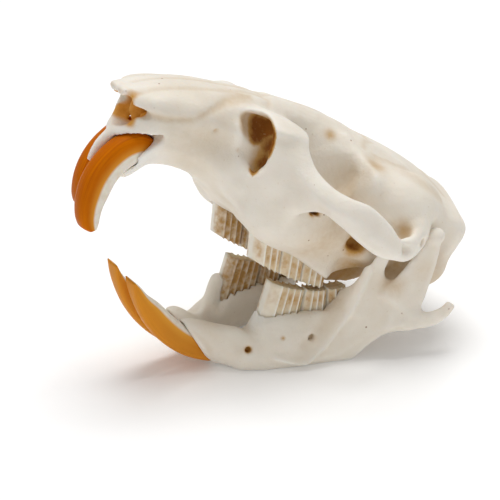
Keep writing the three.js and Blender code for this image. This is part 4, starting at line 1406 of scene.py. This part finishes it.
def build_incisor(context, jaw, name):
    rings, facts = incisor_rings(incisor(jaw, name), incisor_stations(jaw, name))
    back, across, along = end_facts(facts).T
    edge = ENAMEL_EDGE[jaw]
    marks = {
        "enamel": ramp(back, edge, edge - 0.05),
        "rim": 0.6 * ramp(back, edge - 0.3, edge - 0.06),
        "pale": np.full(len(back), ENAMEL_PALE[jaw]),
        "core": 0.75 * bell(across, 0.2) * ramp(back, 0.4, 0.0),
        "across": across,
        "along": along - along.min(),
    }
    piece = f"{jaw}_incisor_tooth_{name}"
    mesh = tooth_mesh(piece, jaw, name, rings, marks)
    add_piece(context, piece, f"{jaw}_incisor_{name}", mesh, "incisor_enamel")


def build_cheek_tooth(context, jaw, name, index):
    rings, facts = cheek_tooth_rings(tooth_row(jaw, name), index)
    groove, height, across, broad = end_facts(facts).T
    band = bell(height - STAIN_HEIGHT, STAIN_SPREAD)
    inner = (across < 0) * (0.6 + 0.5 * groove)
    stain = np.maximum.reduce([0.85 * band * groove, CENTRE_STAIN[jaw] * band * broad, inner])
    marks = {"groove": groove, "height": height, "stain": stain}
    node = f"{jaw}_molar_{name}_{index + 1}"
    mesh = tooth_mesh(f"{node}_tooth", jaw, name, rings, marks)
    add_piece(context, f"{node}_tooth", node, mesh, "cheek_tooth")


def build_floor(context):
    half = context.scene.skull_stage.floor_size / 2
    corners = [(-half, -half, 0), (half, -half, 0), (half, half, 0), (-half, half, 0)]
    mesh = bpy.data.meshes.new("floor")
    mesh.from_pydata(corners, [], [(0, 1, 2, 3)])
    mesh.materials.append(slot_material(context, "floor"))
    floor = bpy.data.objects.new("floor", mesh)
    context.scene.collection.objects.link(floor)


def add_light(context, name, place, power):
    """A large soft lamp that shines on the skull."""
    light = bpy.data.lights.new(name, "AREA")
    light.shape = "DISK"
    light.size = LIGHT_SIZE
    light.energy = power
    lamp = bpy.data.objects.new(name, light)
    lamp.location = place
    lamp.rotation_euler = (Vector(LIGHT_AIM) - Vector(place)).to_track_quat("-Z", "Y").to_euler()
    context.scene.collection.objects.link(lamp)


def build_camera(context):
    view = context.scene.skull_stage
    data = bpy.data.cameras.new("camera")
    data.lens = view.lens
    data.clip_start = 0.02
    data.clip_end = 10.0
    camera = bpy.data.objects.new("camera", data)
    level = math.cos(view.elevation)
    x, y = math.sin(view.azimuth) * level, -math.cos(view.azimuth) * level
    back = Vector((x, y, math.sin(view.elevation)))
    camera.location = Vector(view.target) + view.distance * back
    camera.rotation_euler = (-back).to_track_quat("-Z", "Y").to_euler()
    context.scene.collection.objects.link(camera)
    context.scene.camera = camera


def build_world(context):
    world = bpy.data.worlds.new("studio")
    world.use_nodes = True
    background = world.node_tree.nodes["Background"]
    background.inputs["Color"].default_value = (1.0, 1.0, 1.0, 1.0)
    background.inputs["Strength"].default_value = context.scene.skull_stage.sky
    context.scene.world = world


def grid_step(context):
    step = context.scene.skull_shape.grid
    return step


# Settings

def number_setting(name, description, value, **limits):
    return FloatProperty(name=name, description=description, default=value, **limits)


class SkullShape(bpy.types.PropertyGroup):
    """Sizes that change how finely the bone is drawn."""

    grid: number_setting("Grid", "Cell size of the bone's grid, in millimetres", 0.3, min=0.2, max=1.0)


def colour_setting(name, description, value):
    return FloatVectorProperty(
        name=name, description=description, default=value, subtype="COLOR", size=3, min=0.0, max=1.0,
    )


class SkullFinish(bpy.types.PropertyGroup):
    """Colours of the bone, the teeth and the floor."""

    bone: colour_setting("Bone", "Clean, dry bone", (0.87, 0.81, 0.71))
    bone_shade: colour_setting("Bone shade", "Slightly darker clouds in the bone", (0.79, 0.72, 0.61))
    # painted highlight colour for thin edges and ridges
    bone_painted_highlight: colour_setting("Bone edge", "Chalky bone on thin edges", (0.95, 0.93, 0.89))
    # tan serves real stains and sutures, and also painted shade in hollows and on the side of the snout
    bone_tan: colour_setting("Bone tan", "Tan bone in hollows and sutures", (0.62, 0.46, 0.28))
    # amber and brown serve real stains, and also painted shade in the keyhole and in the chin's opening
    bone_amber: colour_setting("Bone amber", "Amber bone round deep openings", (0.54, 0.31, 0.09))
    # colour of the painted glow inside the nose
    bone_painted_glow: colour_setting("Bone glow", "Light through the thin walls of the nose", (0.15, 0.055, 0.003))
    bone_brown: colour_setting("Bone brown", "Deep brown stains", (0.26, 0.088, 0.01))
    enamel: colour_setting("Enamel", "Orange enamel", (0.64, 0.17, 0.001))
    enamel_dark: colour_setting("Dark enamel", "Enamel down the middle of a tooth", (0.50, 0.115, 0.002))
    enamel_light: colour_setting("Light enamel", "Thin enamel along its edge", (0.84, 0.42, 0.06))
    dentine: colour_setting("Dentine", "Pale dentine behind the enamel", (0.86, 0.80, 0.70))
    column: colour_setting("Tooth column", "Cream columns of a cheek tooth", (0.94, 0.90, 0.80))
    column_grey: colour_setting("Grey column", "Greyish parts of the columns", (0.86, 0.81, 0.71))
    column_tan: colour_setting("Tooth tan", "Cement between the columns", (0.76, 0.63, 0.42))
    column_brown: colour_setting("Tooth brown", "Stain on a cheek tooth", (0.52, 0.29, 0.08))
    floor: colour_setting("Floor", "Pale floor", (0.98, 0.98, 0.98))


class SkullStage(bpy.types.PropertyGroup):
    """The camera, the floor and the light."""

    azimuth: number_setting("Azimuth", "Camera's turn round the object", math.radians(-28), subtype="ANGLE")
    elevation: number_setting("Elevation", "Camera's height angle", math.radians(24), subtype="ANGLE")
    distance: number_setting("Distance", "From the camera to its target", 0.35, unit="LENGTH")
    lens: number_setting("Lens", "Focal length in millimetres", 178.4)
    target: FloatVectorProperty(
        name="Target", description="Point in the middle of the picture", default=(-0.0022, 0.0, 0.015115),
        subtype="TRANSLATION",
    )
    floor_size: number_setting("Floor", "Side of the square floor", 6.0, unit="LENGTH")
    sky: number_setting("Sky", "Strength of the light from all round", 0.42)
    key: number_setting("Key light", "Power of the large soft light", 3.7, unit="POWER")
    fill: number_setting("Fill light", "Power of the light in front", 0.34, unit="POWER")


# Operators

class SKULL_OT_cranium(bpy.types.Operator):
    """Builds the cranium with its arches, sutures and sockets"""

    bl_idname = "skull.cranium"
    bl_label = "Cranium"

    def execute(self, context):
        build_cranium(context)
        return {"FINISHED"}


class SKULL_OT_lower_jaw(bpy.types.Operator):
    """Builds the two halves of the lower jaw"""

    bl_idname = "skull.lower_jaw"
    bl_label = "Lower jaw"

    def execute(self, context):
        for name in SIDES:
            build_dentary(context, name)
        return {"FINISHED"}


class SKULL_OT_incisors(bpy.types.Operator):
    """Builds the upper and lower incisors"""

    bl_idname = "skull.incisors"
    bl_label = "Incisors"

    def execute(self, context):
        for name in SIDES:
            for jaw in JAWS:
                build_incisor(context, jaw, name)
        return {"FINISHED"}


class SKULL_OT_cheek_teeth(bpy.types.Operator):
    """Builds the four rows of cheek teeth"""

    bl_idname = "skull.cheek_teeth"
    bl_label = "Cheek teeth"

    def execute(self, context):
        for name in SIDES:
            for jaw in JAWS:
                for index in range(len(ROWS[jaw].teeth)):
                    build_cheek_tooth(context, jaw, name, index)
        return {"FINISHED"}


class SKULL_OT_stage(bpy.types.Operator):
    """Sets the floor, the soft light and the camera"""

    bl_idname = "skull.stage"
    bl_label = "Stage"

    def execute(self, context):
        stage = context.scene.skull_stage
        build_floor(context)
        build_world(context)
        add_light(context, "key_light", KEY_PLACE, stage.key)
        add_light(context, "fill_light", FILL_PLACE, stage.fill)
        build_camera(context)
        context.scene.view_settings.view_transform = "Standard"
        return {"FINISHED"}


class SKULL_PT_panel(bpy.types.Panel):
    """Lists the skull's pieces and settings"""

    bl_idname = "SKULL_PT_panel"
    bl_label = "Skull"
    bl_space_type = "VIEW_3D"
    bl_region_type = "UI"
    bl_category = "Skull"

    def draw(self, context):
        for operator in OPERATORS:
            self.layout.operator(operator.bl_idname)
        for group in (context.scene.skull_shape, context.scene.skull_finish, context.scene.skull_stage):
            for name in group.__annotations__:
                self.layout.prop(group, name)


OPERATORS = (
    SKULL_OT_cranium,
    SKULL_OT_lower_jaw,
    SKULL_OT_incisors,
    SKULL_OT_cheek_teeth,
    SKULL_OT_stage,
)
SETTINGS = {"skull_shape": SkullShape, "skull_finish": SkullFinish, "skull_stage": SkullStage}
CLASSES = (*SETTINGS.values(), *OPERATORS, SKULL_PT_panel)


def register():
    for kind in CLASSES:
        bpy.utils.register_class(kind)
    for name, group in SETTINGS.items():
        setattr(bpy.types.Scene, name, PointerProperty(type=group))


def unregister():
    for name in SETTINGS:
        delattr(bpy.types.Scene, name)
    for kind in reversed(CLASSES):
        bpy.utils.unregister_class(kind)


def main():
    register()
    bpy.ops.skull.cranium()
    bpy.ops.skull.lower_jaw()
    bpy.ops.skull.incisors()
    bpy.ops.skull.cheek_teeth()
    bpy.ops.skull.stage()


if __name__ == "__main__":
    main()
